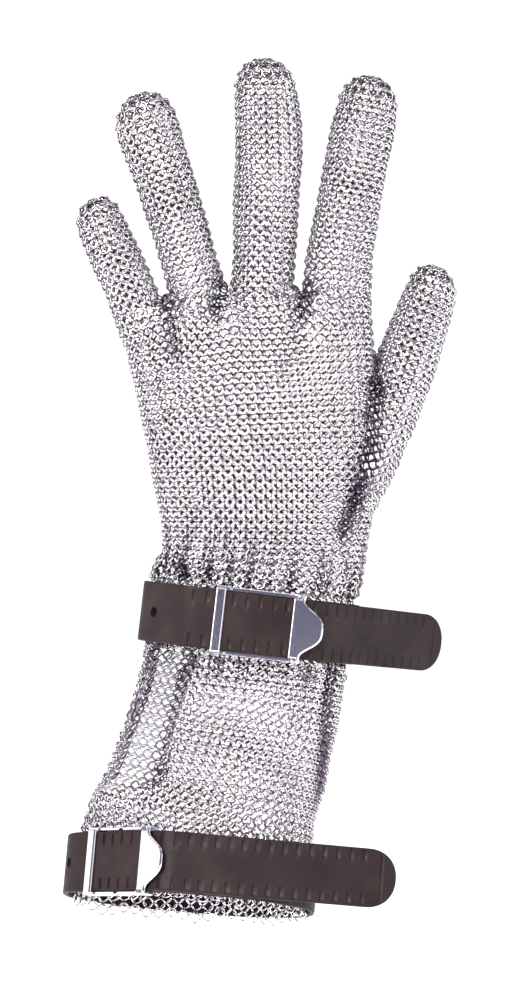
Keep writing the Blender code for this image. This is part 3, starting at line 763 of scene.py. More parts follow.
def tumbled_stainless_wire():
    material, shader = new_material("tumbled_stainless_wire", "#e4e0e6", 0.24, 1.0)
    inward, touch, folded = (
        add_node(material, "ShaderNodeAttribute", {"attribute_name": label}).outputs["Fac"]
        for label in ("inward", "touch", "folded")
    )
    place = add_node(material, "ShaderNodeTexCoord").outputs["Object"]
    patches, dents = (
        add_node(
            material, "ShaderNodeTexNoise", {"Scale": 1 / (size * MM), "Detail": detail},
            {"Vector": place},
        ).outputs["Fac"]
        for size, detail in ((RING_PATCH, 1.0), (TUMBLE_DENT, 2.0))
    )
    tint, *shades = (
        add_node(
            material, "ShaderNodeValToRGB", {"stops": stops}, {"Fac": source}
        ).outputs["Color"]
        for source, stops in (
            (patches, [(0.3, "#e6e1e8"), (0.7, "#fbf8fb")]),
            # painted shade on the wire's flanks and on its inner side under cover of the opposite
            # wall
            (inward, [(0.3, "#ffffff"), (0.5, "#8d848f"), (0.62, "#6e6466"), (0.9, "#76695f")]),
            # painted shade near the four places where a ring touches others
            (touch, [(0.78, "#ffffff"), (0.96, "#807686")]),
            # painted shade in creases, pleat hollows and folds
            (folded, [(0.0, "#ffffff"), (0.5, "#9a909e"), (1.0, "#3f3648")]),
        )
    )
    for shade in shades:
        tint = add_node(material, "ShaderNodeMix", MULTIPLY, {6: tint, 7: shade}).outputs[2]
    rough = add_node(
        material, "ShaderNodeMapRange",
        {"From Min": 0.35, "From Max": 0.7, "To Min": 0.24, "To Max": 0.6}, {"Value": inward},
    )
    bump = add_node(
        material, "ShaderNodeBump", {"Strength": 0.15, "Distance": 0.05 * MM}, {"Height": dents}
    )
    dress(material, shader, tint, rough.outputs["Result"], bump.outputs["Normal"])
    return material


wire_steel = tumbled_stainless_wire()
print("material:", wire_steel.name)

# %% [markdown]
# ## Ring meshes
# Thousands of separate objects would be slow, so the rings of each part of the glove are
# one mesh, written in one go from arrays. A ring belongs to the node whose wall it lies
# in, and its mesh stands in for that node. To keep each mesh light, the hand and the cuff
# are halved into the side of the back of the hand and the side of the palm, and the hand
# is also parted at the height of the knuckles. Three numbers on each point set the wire's
# painted shade: how far it faces inwards under cover of the opposite wall, how near it is
# to a touching ring, and how deep it lies in a fold.

# %% Ring meshes
LEAN_SPREAD = math.radians(2.5)
TWIST_SPREAD = math.radians(2.5)
HALVES = {"mail_hand", "mail_cuff"}
KNUCKLES_ABOVE = 165.0    # mm, the hand's meshes are also parted at this height
OPEN_SHADE_PART = 0.05      # beside the slit, the inner side gets this part of the painted shade it gets elsewhere
CREASE_SHADE = 0.7     # painted shade for each mm of a crease's depth
CREASE_ONSET = 0.3        # mm, shallower creases stay bright
PLEAT_SHADE = 1.9         # a pleat's hollow counts this many times its depth
FOLD_SHADE = 1.1       # painted shade for mesh turned square to the wall
FOLD_ONSET = 0.1          # mesh turned less than this stays bright
LOOK_PAST = 3.0           # mm, rays start behind the ring's own wall
LOOK_DISTANCE = 90.0
LOOK_ASIDE = 0.1          # two of the three rays lean sideways by this slope


def some_rings(rings, chosen):
    return Rings(*[values[chosen] for values in rings])


def sheltered(rings):
    """For each ring, how much the opposite wall covers it on its inner side: 0 to 1."""
    hits = np.zeros(len(rings.kind))
    through = -np.sign(rings.out[:, 1])[:, None] * np.array([0.0, 1.0, 0.0])
    directions = [through + LOOK_ASIDE * lean * rings.across for lean in (-1, 0, 1)]
    for direction in directions:
        for i, (centre, run) in enumerate(zip(rings.centre, direction)):
            start = Vector(centre) + LOOK_PAST * Vector(run).normalized()
            hits[i] += walls.ray_cast(start, Vector(run), LOOK_DISTANCE)[0] is not None
    return hits / len(directions)


def placed_object(name, data):
    obj = bpy.data.objects.new(name, data)
    bpy.context.collection.objects.link(obj)
    return obj


def ring_object(name, rings, shelter, fold_shade_amount):
    """One mesh of many rings."""
    count = len(rings.kind)
    lean = rings.kind * (LEAN + LEAN_SPREAD * rng.standard_normal(count))
    twist = TWIST + TWIST_SPREAD * rng.standard_normal(count)
    out = unit(rings.out)
    across = unit(rings.across - np.sum(rings.across * out, axis=1)[:, None] * out)
    along = np.cross(out, across)
    axis = out * np.cos(lean)[:, None] + along * np.sin(lean)[:, None]
    second = np.cross(axis, across)
    first = across * np.cos(twist)[:, None] + axis * np.sin(twist)[:, None]
    turned = np.stack([first, second, np.cross(first, second)], axis=1)
    points = rings.centre[:, None, :] + np.einsum("pk,rkx->rpx", ring_points, turned)
    facing = np.einsum("rpx,rx->rp", np.einsum("pk,rkx->rpx", ring_facings, turned), out)
    # Painted shade: darkest where the wire faces inwards under cover of the opposite wall, partly
    # dark on its flanks
    inward = np.clip(0.5 - 0.5 * facing, 0.0, 1.0) * shelter[:, None]
    quads = ring_quads[None] + len(ring_points) * np.arange(count)[:, None, None]
    mesh = bpy.data.meshes.new(name)
    mesh.vertices.add(count * len(ring_points))
    mesh.vertices.foreach_set("co", (points * MM).ravel())
    mesh.loops.add(quads.size)
    mesh.loops.foreach_set("vertex_index", quads.ravel())
    mesh.polygons.add(quads.size // 4)
    mesh.polygons.foreach_set("loop_start", np.arange(0, quads.size, 4))
    mesh.polygons.foreach_set("use_smooth", np.ones(quads.size // 4, bool))
    mesh.update(calc_edges=True)
    # the three attributes carry the wire's painted shade
    for label, values in (
        ("inward", inward.ravel()), ("touch", np.tile(ring_touches, count)),
        ("folded", np.repeat(fold_shade_amount, len(ring_points))),
    ):
        mesh.attributes.new(label, "FLOAT", "POINT").data.foreach_set("value", values)
    mesh.materials.append(wire_steel)
    obj = placed_object(name, mesh)
    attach(obj, "root")
    return obj


nearest_walls = [walls.find_nearest(Vector(p)) for p in all_rings.centre]
wall_normals = np.array([found[1] for found in nearest_walls])
owner_of_ring = np.array([wall_owners[found[2]] for found in nearest_walls])
turned = 1 - abs(np.sum(all_rings.out * wall_normals, axis=1))
# Painted shade in creases and pleat hollows, and where the mesh turns square to the wall
depth = creases_at(all_rings.centre, all_rings.out) - PLEAT_SHADE * pleats_at(all_rings.centre)
fold_shade_amount = CREASE_SHADE * np.clip(depth - CREASE_ONSET, 0.0, None)
fold_shade_amount = np.clip(fold_shade_amount + FOLD_SHADE * np.clip(turned - FOLD_ONSET, 0.0, None), 0.0, 1.0)
# how much the opposite wall covers a ring scales the painted shade of its inner side
shelter = OPEN_SHADE_PART + (1 - OPEN_SHADE_PART) * sheltered(all_rings)
back_side = all_rings.out[:, 1] < 0
knuckles = all_rings.centre[:, 2] > KNUCKLES_ABOVE
for node in MAIL_NODES:
    own = owner_of_ring == node
    parts = {"": own}
    if node in HALVES:
        parts = {"_back": own & back_side, "_palm_side": own & ~back_side}
    if node == "mail_hand":
        parts = {
            side + level: chosen & above
            for side, chosen in parts.items()
            for level, above in (("_upper", knuckles), ("_lower", ~knuckles))
        }
    for suffix, chosen in parts.items():
        name = node.replace("mail_", "rings_") + suffix
        piece = ring_object(name, some_rings(all_rings, chosen), shelter[chosen], fold_shade_amount[chosen])
        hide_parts(node)
        print(f"{piece.name}: {chosen.sum()} rings, {2 * len(piece.data.polygons)} triangles")


# %% [markdown]
# ## The way of each strap
# A strap is one moulded rubber band. Its fixed end sits under the buckle's frame. From
# there it goes once round the arm, climbs onto the frame's back, passes under the bar
# and the lever, and ends in a loose tail. Seen along the arm that way is a polygon with
# round corners. A table gives its corners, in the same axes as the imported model.

# %% Strap sizes and corners
STRAP_THICK = 1.8
STRAP_WIDTH = 20.8
STRAP_TIP_WIDTH = 20.0
BUCKLE_SHEET = 0.8
GAP = 0.3
LAYER_STEP = STRAP_THICK + BUCKLE_SHEET + 2 * GAP   # the tail lies this far above the band
FIXED_END = 6.0           # the band starts this far under the frame
RAMP = 24.0               # it climbs onto the frame over this length,
RAMP_END = 4.0            # and ends climbing this far before the frame
STRAP_STEP = 1.5
FULL_TURN = 2 * math.pi
SAME_HEADING = 0.01       # radians, the tail may leave this little before a full lap
HEADING_SLACK = 1e-6      # radians, takes up rounding

Corner = namedtuple("Corner", "u v radius")
Loop = namedtuple("Loop", "corners x y z roll pitch buckle_from tail_heading tail")
CUFF_CORNERS = (
    Corner(-8.6, -34.2, 8.0), Corner(22.0, -34.2, 25.0), Corner(42.4, -15.0, 25.0),
    Corner(42.4, 13.0, 25.0), Corner(22.0, 32.2, 25.0), Corner(-22.0, 32.2, 25.0),
    Corner(-42.4, 17.0, 16.0), Corner(-42.4, -0.4, 22.0),
)
WRIST_CORNERS = (
    Corner(22.0, -25.2, 8.0), Corner(37.0, -11.0, 20.0), Corner(37.0, 11.0, 20.0),
    Corner(20.0, 25.2, 20.0), Corner(-20.0, 25.2, 20.0), Corner(-37.0, 11.0, 20.0),
    Corner(-37.0, -11.0, 18.0), Corner(-22.0, -25.2, 12.0),
)
LOOPS = {
    "cuff": Loop(CUFF_CORNERS, 0.8, 2.0, 11.0, 4.9, 10.5, 12.6, 0.0, 74.5),
    "wrist": Loop(WRIST_CORNERS, 20.4, 11.5, 98.1, 6.6, 1.0, 9.6, 47.0, 50.0),
}


def ahead(heading):
    return np.array([math.cos(heading), math.sin(heading)])


def outside(heading):
    """Square to a heading, away from the arm."""
    return np.array([math.sin(heading), -math.cos(heading)])


def rounded_polygon(corners, step):
    """Points and headings along a polygon whose corners are arcs."""
    following = corners[1:] + corners[:1]
    sides = [math.hypot(b.v - a.v, b.u - a.u) for a, b in zip(corners, following)]
    edges = [math.atan2(b.v - a.v, b.u - a.u) for a, b in zip(corners, following)]
    turns = [(edge - edges[i - 1]) % FULL_TURN for i, edge in enumerate(edges)]
    reaches = [here.radius * math.tan(turn / 2) for here, turn in zip(corners, turns)]
    points, headings = [], []
    for i, here in enumerate(corners):
        before = edges[i - 1]
        start = np.array([here.u, here.v]) - reaches[i] * ahead(before)
        middle = start - here.radius * outside(before)
        parts = max(3, math.ceil(here.radius * turns[i] / step))
        for k in range(parts + 1):
            heading = before + turns[i] * k / parts
            points.append(middle + here.radius * outside(heading))
            headings.append(heading)
        length = sides[i] - reaches[i] - reaches[(i + 1) % len(corners)]
        parts = max(1, math.ceil(length / step))
        for k in range(1, parts):
            points.append(points[-1] + ahead(edges[i]) * length / parts)
            headings.append(edges[i])
    return np.array(points), np.unwrap(np.array(headings))


def buckle_place(loop):
    """The frame's left end on the band's centreline: (u, v) point and heading."""
    last, first = loop.corners[-1], loop.corners[0]
    heading = math.atan2(first.v - last.v, first.u - last.u)
    return np.array([last.u, last.v]) + loop.buckle_from * ahead(heading), heading


@cache
def strap_way(loop):
    """Distance, (u, v) and heading along the centreline, and the frame's distance."""
    place, heading = buckle_place(loop)
    points, headings = rounded_polygon(loop.corners, STRAP_STEP)
    headings = headings - headings[0] + heading
    leave = math.radians(loop.tail_heading)
    leave += FULL_TURN * math.ceil((heading + FULL_TURN - leave - SAME_HEADING) / FULL_TURN)
    again = int(np.argmax(headings + FULL_TURN >= leave - HEADING_SLACK)) + 1
    route = np.array([place + FIXED_END * ahead(heading), *points, *points[:again]])
    turns = np.array([heading, *headings, *(headings[:again] + FULL_TURN)])
    distance = distances(route)
    end = len(points)
    lap = distance[end] - np.linalg.norm(place - route[end])
    rise = np.clip((distance - lap + RAMP + RAMP_END) / RAMP, 0.0, 1.0)
    outward = np.stack([np.sin(turns), -np.cos(turns)], axis=1)
    route = route + (LAYER_STEP * rise * rise * (3 - 2 * rise))[:, None] * outward
    route = np.vstack([route, route[-1] + loop.tail * ahead(turns[-1])])
    turns = np.append(turns, turns[-1])
    distance = distances(route)
    on_frame = place + LAYER_STEP * outside(heading)
    return distance, route, turns, distance[end] - np.linalg.norm(on_frame - route[end])


for name, loop in LOOPS.items():
    distance, _, _, frame_at = strap_way(loop)
    print(f"{name} strap: {distance[-1]:.0f} mm long, the frame at {frame_at:.0f} mm")

# %% [markdown]
# ## Strap rubber
# The straps are moulded from a dark brown thermoplastic rubber, loaded with carbon
# black. It comes out of the mould satin: a soft broad sheen, a fine spark-eroded grain of
# about a third of a millimetre, scuffs that change the sheen over a few millimetres, and
# a slightly paler bloom that comes and goes over a centimetre or two.

# %% Moulded rubber
RUBBER_BLOOM = 14.0       # mm
RUBBER_SCUFF = 2.2        # mm
RUBBER_GRAIN = 0.35       # mm


def moulded_rubber():
    material, shader = new_material("moulded_dark_rubber", "#241a1b", 0.5)
    shader.inputs["IOR"].default_value = 1.5
    shader.inputs["Specular IOR Level"].default_value = 0.16
    place = add_node(material, "ShaderNodeTexCoord").outputs["Object"]
    bloom, scuff, grain = (
        add_node(
            material, "ShaderNodeTexNoise", {"Scale": 1 / (size * MM), "Detail": detail},
            {"Vector": place},
        ).outputs["Fac"]
        for size, detail in ((RUBBER_BLOOM, 2.0), (RUBBER_SCUFF, 4.0), (RUBBER_GRAIN, 1.0))
    )
    tint = add_node(
        material, "ShaderNodeValToRGB",
        {"stops": [(0.3, "#1c1213"), (0.55, "#231819"), (0.75, "#2a1e1f")]}, {"Fac": bloom},
    )
    rough = add_node(
        material, "ShaderNodeMapRange",
        {"From Min": 0.35, "From Max": 0.75, "To Min": 0.44, "To Max": 0.6}, {"Value": scuff},
    )
    bump = add_node(
        material, "ShaderNodeBump", {"Strength": 0.25, "Distance": 0.03 * MM}, {"Height": grain}
    )
    dress(
        material, shader, tint.outputs["Color"], rough.outputs["Result"], bump.outputs["Normal"]
    )
    return material


strap_rubber = moulded_rubber()
print("material:", strap_rubber.name)

# %% [markdown]
# ## Moulded straps
# The mould leaves rounded edges, a row of short grooves along both edges, in which the
# lever's round bar bites, one cross groove before the round tip, and a plain raised
# outline on the tail. Each cross-section is the same closed profile, and extra sections
# stand where a groove starts and ends. The hole is cut afterwards with a Boolean.

# %% Strap meshes
GROOVES = 22              # along each edge
GROOVE_PITCH = 4.6
GROOVE_FROM_TIP = 11.0
GROOVE_DEPTH = 0.45
# mm along the strap from a groove's middle, and the part of its depth reached there
GROOVE_SIDES = ((-0.65, 0.0), (-0.5, 1.0), (0.1, 1.0), (0.65, 0.0))
TIP_GROOVE_FROM_TIP = 5.0
TIP_GROOVE_SIDES = ((-0.35, 0.0), (0.0, 0.5), (0.35, 0.0))
GROOVE_CLEARANCE = 0.8    # plain sections keep this far from a groove's middle
TIP_STEPS = 20
TIP_FULLNESS = 2.2        # 2 gives half a circle, more a blunter tip
WINDOW = (3.6, 26.9)      # the strap bows a little between the bar and the lever
WINDOW_BOW = 0.5
HOLE_FROM_TIP = 126.0
HOLE_DIAMETER = 3.7
OUTLINE_FROM_TIP = (24.0, 44.0)
OUTLINE_HALF = 4.2
OUTLINE_STEPS = 48
# The bead of the raised outline in section: mm sideways, and mm above the strap
BEAD = ((-0.35, -0.1), (-0.25, 0.08), (0.0, 0.14), (0.25, 0.08), (0.35, -0.1))
ROD_SEGMENTS = 48
STRAP_SHARP = 40          # degrees, edges of the rubber look sharp above this angle
HALF = STRAP_THICK / 2
# Half a profile of the strap from its middle to its edge and back: mm across, mm
# outward, and how much of a groove's depth the point takes.
PROFILE = [
    (0.0, HALF, 0), (3.0, HALF, 0), (5.6, HALF, 0), (5.95, HALF, 1), (7.7, HALF, 1),
    (9.4, HALF, 1), (9.7, HALF, 0), (10.0, HALF - 0.04, 0), (10.25, HALF - 0.18, 0),
    (10.4, HALF - 0.5, 0), (10.4, -HALF + 0.5, 0), (10.25, -HALF + 0.18, 0),
    (10.0, -HALF + 0.04, 0), (9.0, -HALF, 0), (4.5, -HALF, 0), (0.0, -HALF, 0),
]


def strap_sections(loop):
    """Rows of distance, width, depth of the edge grooves and depth of the tip's groove."""
    distance, _, _, frame_at = strap_way(loop)
    end = distance[-1]
    tip = STRAP_TIP_WIDTH / 2
    marks = [end - GROOVE_FROM_TIP - k * GROOVE_PITCH for k in range(GROOVES)]
    tip_mark = end - TIP_GROOVE_FROM_TIP
    plain = [*distance[distance < frame_at], *np.arange(frame_at, end - tip, STRAP_STEP)]
    plain += [end - tip * (1 - math.sin(math.pi / 2 * k / TIP_STEPS)) for k in range(TIP_STEPS)]
    stops = {
        place: (0.0, 0.0) for place in plain
        if min(abs(place - mark) for mark in (*marks, tip_mark)) > GROOVE_CLEARANCE
    }
    for mark in marks:
        stops.update({mark + offset: (part * GROOVE_DEPTH, 0.0) for offset, part in GROOVE_SIDES})
    for offset, part in TIP_GROOVE_SIDES:
        stops[tip_mark + offset] = (0.0, part * GROOVE_DEPTH)
    rows = []
    for place in sorted(stops):
        reach = max(0.0, place - (end - tip))
        part = np.clip((place - frame_at) / (end - tip - frame_at), 0.0, 1.0)
        width = STRAP_WIDTH + (STRAP_TIP_WIDTH - STRAP_WIDTH) * part
        width *= max(0.0, 1 - (reach / tip) ** TIP_FULLNESS) ** (1 / TIP_FULLNESS)
        rows.append((place, width, *stops[place]))
    return rows


def loop_axes(loop, heading):
    """Axes of a loop at a heading: along the strap, outward and across."""
    u, v, w = tilt(loop.roll, loop.pitch).T
    along = math.cos(heading) * u + math.sin(heading) * v
    return along, math.sin(heading) * u - math.cos(heading) * v, w


def loop_point(loop, u, v):
    axes = tilt(loop.roll, loop.pitch)
    return np.array([loop.x, loop.y, loop.z]) + u * axes[:, 0] + v * axes[:, 1]


def strap_place(loop, place, across=0.0, height=0.0):
    """The point in mm at a distance along a strap, across it and above its centreline."""
    distance, route, turns, frame_at = strap_way(loop)
    u, v, heading = (np.interp(place, distance, column) for column in (*route.T, turns))
    low, high = (frame_at + w for w in WINDOW)
    if low < place < high:
        height += WINDOW_BOW * math.sin(math.pi * (place - low) / (high - low)) ** 2
    _, outward, sideways = loop_axes(loop, heading)
    return loop_point(loop, u, v) + across * sideways + height * outward


def new_vert(bm, place):
    return bm.verts.new(Vector(place) * MM)


def skin(bm, rows):
    """Faces between closed rows of as many vertices."""
    for low, high in zip(rows, rows[1:]):
        for i in range(len(low)):
            j = (i + 1) % len(low)
            bm.faces.new((low[i], low[j], high[j], high[i]))


def object_of(name, bm):
    """A placed object whose mesh comes from a bmesh."""
    mesh = bpy.data.meshes.new(name)
    bm.to_mesh(mesh)
    bm.free()
    return placed_object(name, mesh)


def cut_away(obj, cutter):
    """Applies one exact Boolean difference, and removes the cutter."""
    step = obj.modifiers.new("cut", "BOOLEAN")
    step.operation, step.solver, step.object = "DIFFERENCE", "EXACT", cutter
    result = obj.evaluated_get(bpy.context.evaluated_depsgraph_get())
    cut = bpy.data.meshes.new_from_object(result)
    obj.modifiers.clear()
    obj.data = cut
    bpy.data.objects.remove(cutter)


def add_to(obj, part):
    """Joins a part's mesh to an object's own, and removes the part."""
    bm = bmesh.new()
    bm.from_mesh(obj.data)
    bm.from_mesh(part.data)
    bm.to_mesh(obj.data)
    bm.free()
    bpy.data.objects.remove(part)


def finish_mesh(obj, material, sharp_degrees):
    """One material, smooth shading, and sharp edges above an angle."""
    obj.data.materials.clear()
    obj.data.materials.append(material)
    obj.data.shade_smooth()
    obj.data.set_sharp_from_angle(angle=math.radians(sharp_degrees))


def rod(name, place, axis, radius, half_length):
    """A cylinder centred on a place in mm, along an axis."""
    bm = bmesh.new()
    bmesh.ops.create_cone(
        bm, cap_ends=True, segments=ROD_SEGMENTS, radius1=radius * MM, radius2=radius * MM,
        depth=2 * half_length * MM,
    )
    turn = Vector((0, 0, 1)).rotation_difference(Vector(axis)).to_matrix().to_4x4()
    bmesh.ops.transform(bm, matrix=Matrix.Translation(Vector(place) * MM) @ turn, verts=bm.verts)
    return object_of(name, bm)


def strap_band(name, loop):
    """The moulded band, still without its hole and its raised outline."""
    bm = bmesh.new()
    profile = PROFILE + [(-y, z, g) for y, z, g in PROFILE[-2:0:-1]]
    rows = []
    for place, width, edge, cross in strap_sections(loop):
        rows.append([
            new_vert(bm, strap_place(
                loop, place, y * width / STRAP_WIDTH, z - (edge * g + (cross if z > 0 else 0.0))
            ))
            for y, z, g in profile
        ])
    skin(bm, rows)
    bm.faces.new(rows[0][::-1])
    bm.faces.new(rows[-1])
    bmesh.ops.recalc_face_normals(bm, faces=bm.faces)
    return object_of(name, bm)


def raised_outline(loop):
    """A low closed bead on the tail, long and round-ended."""
    end = strap_way(loop)[0][-1]
    low, high = (end - d for d in reversed(OUTLINE_FROM_TIP))
    bm = bmesh.new()
    rows = []
    for k in range(OUTLINE_STEPS):
        angle = FULL_TURN * (k + 0.5) / OUTLINE_STEPS
        shift = (high - OUTLINE_HALF) if math.cos(angle) > 0 else (low + OUTLINE_HALF)
        rows.append([
            new_vert(bm, strap_place(
                loop, shift + (OUTLINE_HALF + side) * math.cos(angle),
                (OUTLINE_HALF + side) * math.sin(angle), HALF + height,
            ))
            for side, height in BEAD
        ])
    skin(bm, [*rows, rows[0]])
    bmesh.ops.recalc_face_normals(bm, faces=bm.faces)
    return object_of("raised_outline", bm)


for name, loop in LOOPS.items():
    strap = strap_band(f"{name}_strap_moulded", loop)
    hole_at = strap_way(loop)[0][-1] - HOLE_FROM_TIP
    hole_axis = strap_place(loop, hole_at, 0.0, 1.0) - strap_place(loop, hole_at)
    hole = rod("hole", strap_place(loop, hole_at), hole_axis, HOLE_DIAMETER / 2, STRAP_THICK)
    cut_away(strap, hole)
    add_to(strap, raised_outline(loop))
    finish_mesh(strap, strap_rubber, STRAP_SHARP)
    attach(strap, "root")
    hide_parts(f"{name}_strap")
    print(f"{strap.name}: {len(strap.data.polygons)} faces")

# %% [markdown]
# ## Pressed stainless sheet
# The sheet comes from the mill cold-rolled and is only tumbled after pressing. So its
# faces are satin, faintly blue beside the wires, and mottled with tiny flat spots about
# a millimetre across. Its rolled-over rims take the most rubbing and come out nearly as
# smooth as a mirror; their paler colour is a painted highlight.

# %% Sheet steel
MOTTLE = 1.1              # mm
ROLLING_GRAIN = 0.25      # mm, drawn coarser than the real 0.02 mm so that it shows


def pressed_stainless_sheet():
    material, shader = new_material("pressed_stainless_sheet", "#b9b9c6", 0.3, 1.0)
    place = add_node(material, "ShaderNodeTexCoord").outputs["Object"]
    mottle, grain = (
        add_node(
            material, "ShaderNodeTexNoise", {"Scale": 1 / (size * MM), "Detail": detail},
            {"Vector": place},
        ).outputs["Fac"]
        for size, detail in ((MOTTLE, 3.0), (ROLLING_GRAIN, 1.0))
    )
    rim = add_node(material, "ShaderNodeAttribute", {"attribute_name": "burnished"})
    satin = add_node(
        material, "ShaderNodeMapRange", {"To Min": 0.35, "To Max": 0.65}, {"Value": mottle}
    )
    mottle_and_rim_highlight = add_node(
        material, "ShaderNodeMath", {"operation": "MAXIMUM"},
        {0: satin.outputs["Result"], 1: rim.outputs["Fac"]},
    ).outputs["Value"]
    # the palest stop, at the rims, is a painted highlight; the mottle is the sheet's own
    tint = add_node(
        material, "ShaderNodeValToRGB",
        {"stops": [(0.35, "#b2b0c0"), (0.65, "#c6c4d2"), (1.0, "#f8f7fb")]}, {"Fac": mottle_and_rim_highlight},
    )
    rough = add_node(
        material, "ShaderNodeMapRange", {"To Min": 0.2, "To Max": 0.1}, {"Value": mottle_and_rim_highlight}
    )
    bump = add_node(
        material, "ShaderNodeBump", {"Strength": 0.2, "Distance": 0.02 * MM}, {"Height": grain}
    )
    dress(
        material, shader, tint.outputs["Color"], rough.outputs["Result"], bump.outputs["Normal"]
    )
    return material


sheet_steel = pressed_stainless_sheet()
print("material:", sheet_steel.name)

# %% [markdown]
# ## Stamped buckles
# Each buckle is pressed from 0.8 mm stainless sheet. The frame is a shallow channel with
# a bar across its left end, and ears that hold the lever's pin. The lever is a plate
# with a bell-shaped finger tab, on a round bar that clamps the strap. Pressing rolls the
# sheet's edges over, and these round rims catch the light, so they are real geometry.

# %% Buckle sizes and helpers
BUCKLE_LENGTH = 30.9      # frame, along the strap
BAR_WIDTH = 3.6
RAIL_WIDTH = 1.0
RAIL_HEIGHT = 3.5
RAIL_DIP = 0.4            # the rail between bar and ear is this much lower
NOTCH_RADIUS = 1.5        # half-round notch in each rail
NOTCH_CENTRE = 9.8        # from the strap's centre line
PIVOT_X = 27.8            # lever axis, from the frame's left end
CAM_RADIUS = 0.9
CAM_VISIBLE_RADIUS = 0.85  # drawn a little thinner, and lower than the pivot, so that the
CAM_SINK = 0.3             # plate's rim stands clear of it
PIN_RADIUS = 0.5
PIN_HALF = 11.5
LUG_RADIUS = 1.3
EAR_RUN = 2.4             # from the ear's centre to the low stretch
EAR_START = -40           # degrees, the round of the ear starts here
EAR_SWEEP = 240
EAR_STEPS = 14
TAB_END_WIDTH = 4.0       # lever plate at the strap's edges
TAB_WIDTH = 11.1          # lever plate at its middle
TAB_SWELL = 9.6           # half the height over which the plate swells
TAB_FULLNESS = 1.6        # 1 gives a cosine bell, more a rounder and fuller tab
TAB_LIFT = 0.2            # the plate's middle above the pivot
TAB_STEPS = 56
OVERRUN = 3.0             # cutters reach this far past what they cut
CHANNEL_HALF = STRAP_WIDTH / 2 + GAP
FRAME_HALF = CHANNEL_HALF + RAIL_WIDTH
BAR_HALF = CHANNEL_HALF + RAIL_WIDTH / 2
BAR_FLOOR = BUCKLE_SHEET + GAP + STRAP_THICK + GAP
PIVOT_HEIGHT = BAR_FLOOR + CAM_RADIUS
ROLLED_RIM = 0.64         # the outer face's edges are rolled over this widely
BACK_RIM = 0.12
FRAME_RIM = 0.3           # edges of the frame's two sides
RIM_STEPS = (1, 3)        # facets of a rim on the back face, and on the outer face
STEEL_SHARP = 10          # degrees, edges of the steel look sharp above this angle


def buckle_axes(loop):
    """Origin at the frame's left end on its back face; axes along, outward and across."""
    (u, v), heading = buckle_place(loop)
    along, outward, across = loop_axes(loop, heading)
    return loop_point(loop, u, v) + (HALF + GAP) * outward, along, outward, across


def sheet_part(name, outline, plane, centre, normal, thickness, front=0.0, back=0.0):
    """A flat outline thickened about its centre, with the edges of its faces rolled over."""
    bm = bmesh.new()
    # rolled rim faces get a smoother surface and a painted highlight
    burnished = bm.faces.layers.float.new("burnished")
    low, high = (
        [
            new_vert(bm, centre + u * plane[0] + v * plane[1] + side * thickness * normal)
            for u, v in outline
        ]
        for side in (-0.5, 0.5)
    )
    skin(bm, [low, high])
    caps = (bm.faces.new(low[::-1]), bm.faces.new(high))
    bmesh.ops.recalc_face_normals(bm, faces=bm.faces)
    rims = [list(cap.edges) for cap in caps]
    for edges, rim, steps in zip(rims, (back, front), RIM_STEPS):
        if rim:
            rolled = bmesh.ops.bevel(
                bm, geom=edges, offset=rim * MM, segments=steps, profile=0.5, affect="EDGES"
            )
            for face in rolled["faces"]:
                face[burnished] = 1.0
    return object_of(name, bm)


def block(name, loop, x_range, height_range, half_across):
    """A box in the buckle's own axes, centred on the strap."""
    origin, along, outward, across = buckle_axes(loop)
    (left, right), (low, high) = x_range, height_range
    outline = [(left, low), (right, low), (right, high), (left, high)]
    return sheet_part(name, outline, (along, outward), origin, across, 2 * half_across)


def pivot_place(loop):
    origin, along, outward, _ = buckle_axes(loop)
    return origin + PIVOT_X * along + PIVOT_HEIGHT * outward


def rail_outline():
    """Side view of a rail: low along the strap, with a round ear for the lever's pin."""
    ear_foot = RAIL_HEIGHT + RAIL_DIP - LUG_RADIUS
    points = [(0.0, 0.0), (BUCKLE_LENGTH, 0.0), (BUCKLE_LENGTH, ear_foot)]
    for step in range(EAR_STEPS + 1):
        x, y = LUG_RADIUS * ahead(math.radians(EAR_START + EAR_SWEEP * step / EAR_STEPS))
        points.append((PIVOT_X + x, PIVOT_HEIGHT + y))
    low_top = RAIL_HEIGHT - RAIL_DIP
    points += [(PIVOT_X - EAR_RUN, low_top), (BAR_WIDTH + 2 * RAIL_WIDTH, low_top)]
    return points + [(BAR_WIDTH + RAIL_WIDTH, RAIL_HEIGHT), (0.0, RAIL_HEIGHT)]


def tab_outline():
    """The lever's plate: straight along the cam bar, a bell-shaped finger tab outside."""
    inner = CHANNEL_HALF - GAP
    left = PIVOT_X - CAM_RADIUS
    shoulder = PIVOT_X + LUG_RADIUS + GAP
    points = [(left, inner), (left, -inner), (shoulder, -inner), (shoulder, -BAR_HALF)]
    for i in range(TAB_STEPS + 1):
        y = -BAR_HALF + 2 * BAR_HALF * i / TAB_STEPS
        swell = 0.5 * (1 + math.cos(math.pi * min(abs(y) / TAB_SWELL, 1.0) ** TAB_FULLNESS))
        points.append((left + TAB_END_WIDTH + (TAB_WIDTH - TAB_END_WIDTH) * swell, y))
    return points + [(shoulder, BAR_HALF), (shoulder, inner)]


print(f"lever axis: {PIVOT_HEIGHT:.1f} mm above the frame's back, {PIVOT_X} mm along it")

# %% [markdown]
# ## Cutting the frames and the levers
# The frame starts as the side view of its rails, as thick as the frame is wide. A block
# cuts the strap's channel from it, then rods cut the two notches and the pin's hole. The
# bar, the round bar and the pin are joined on as further shells.

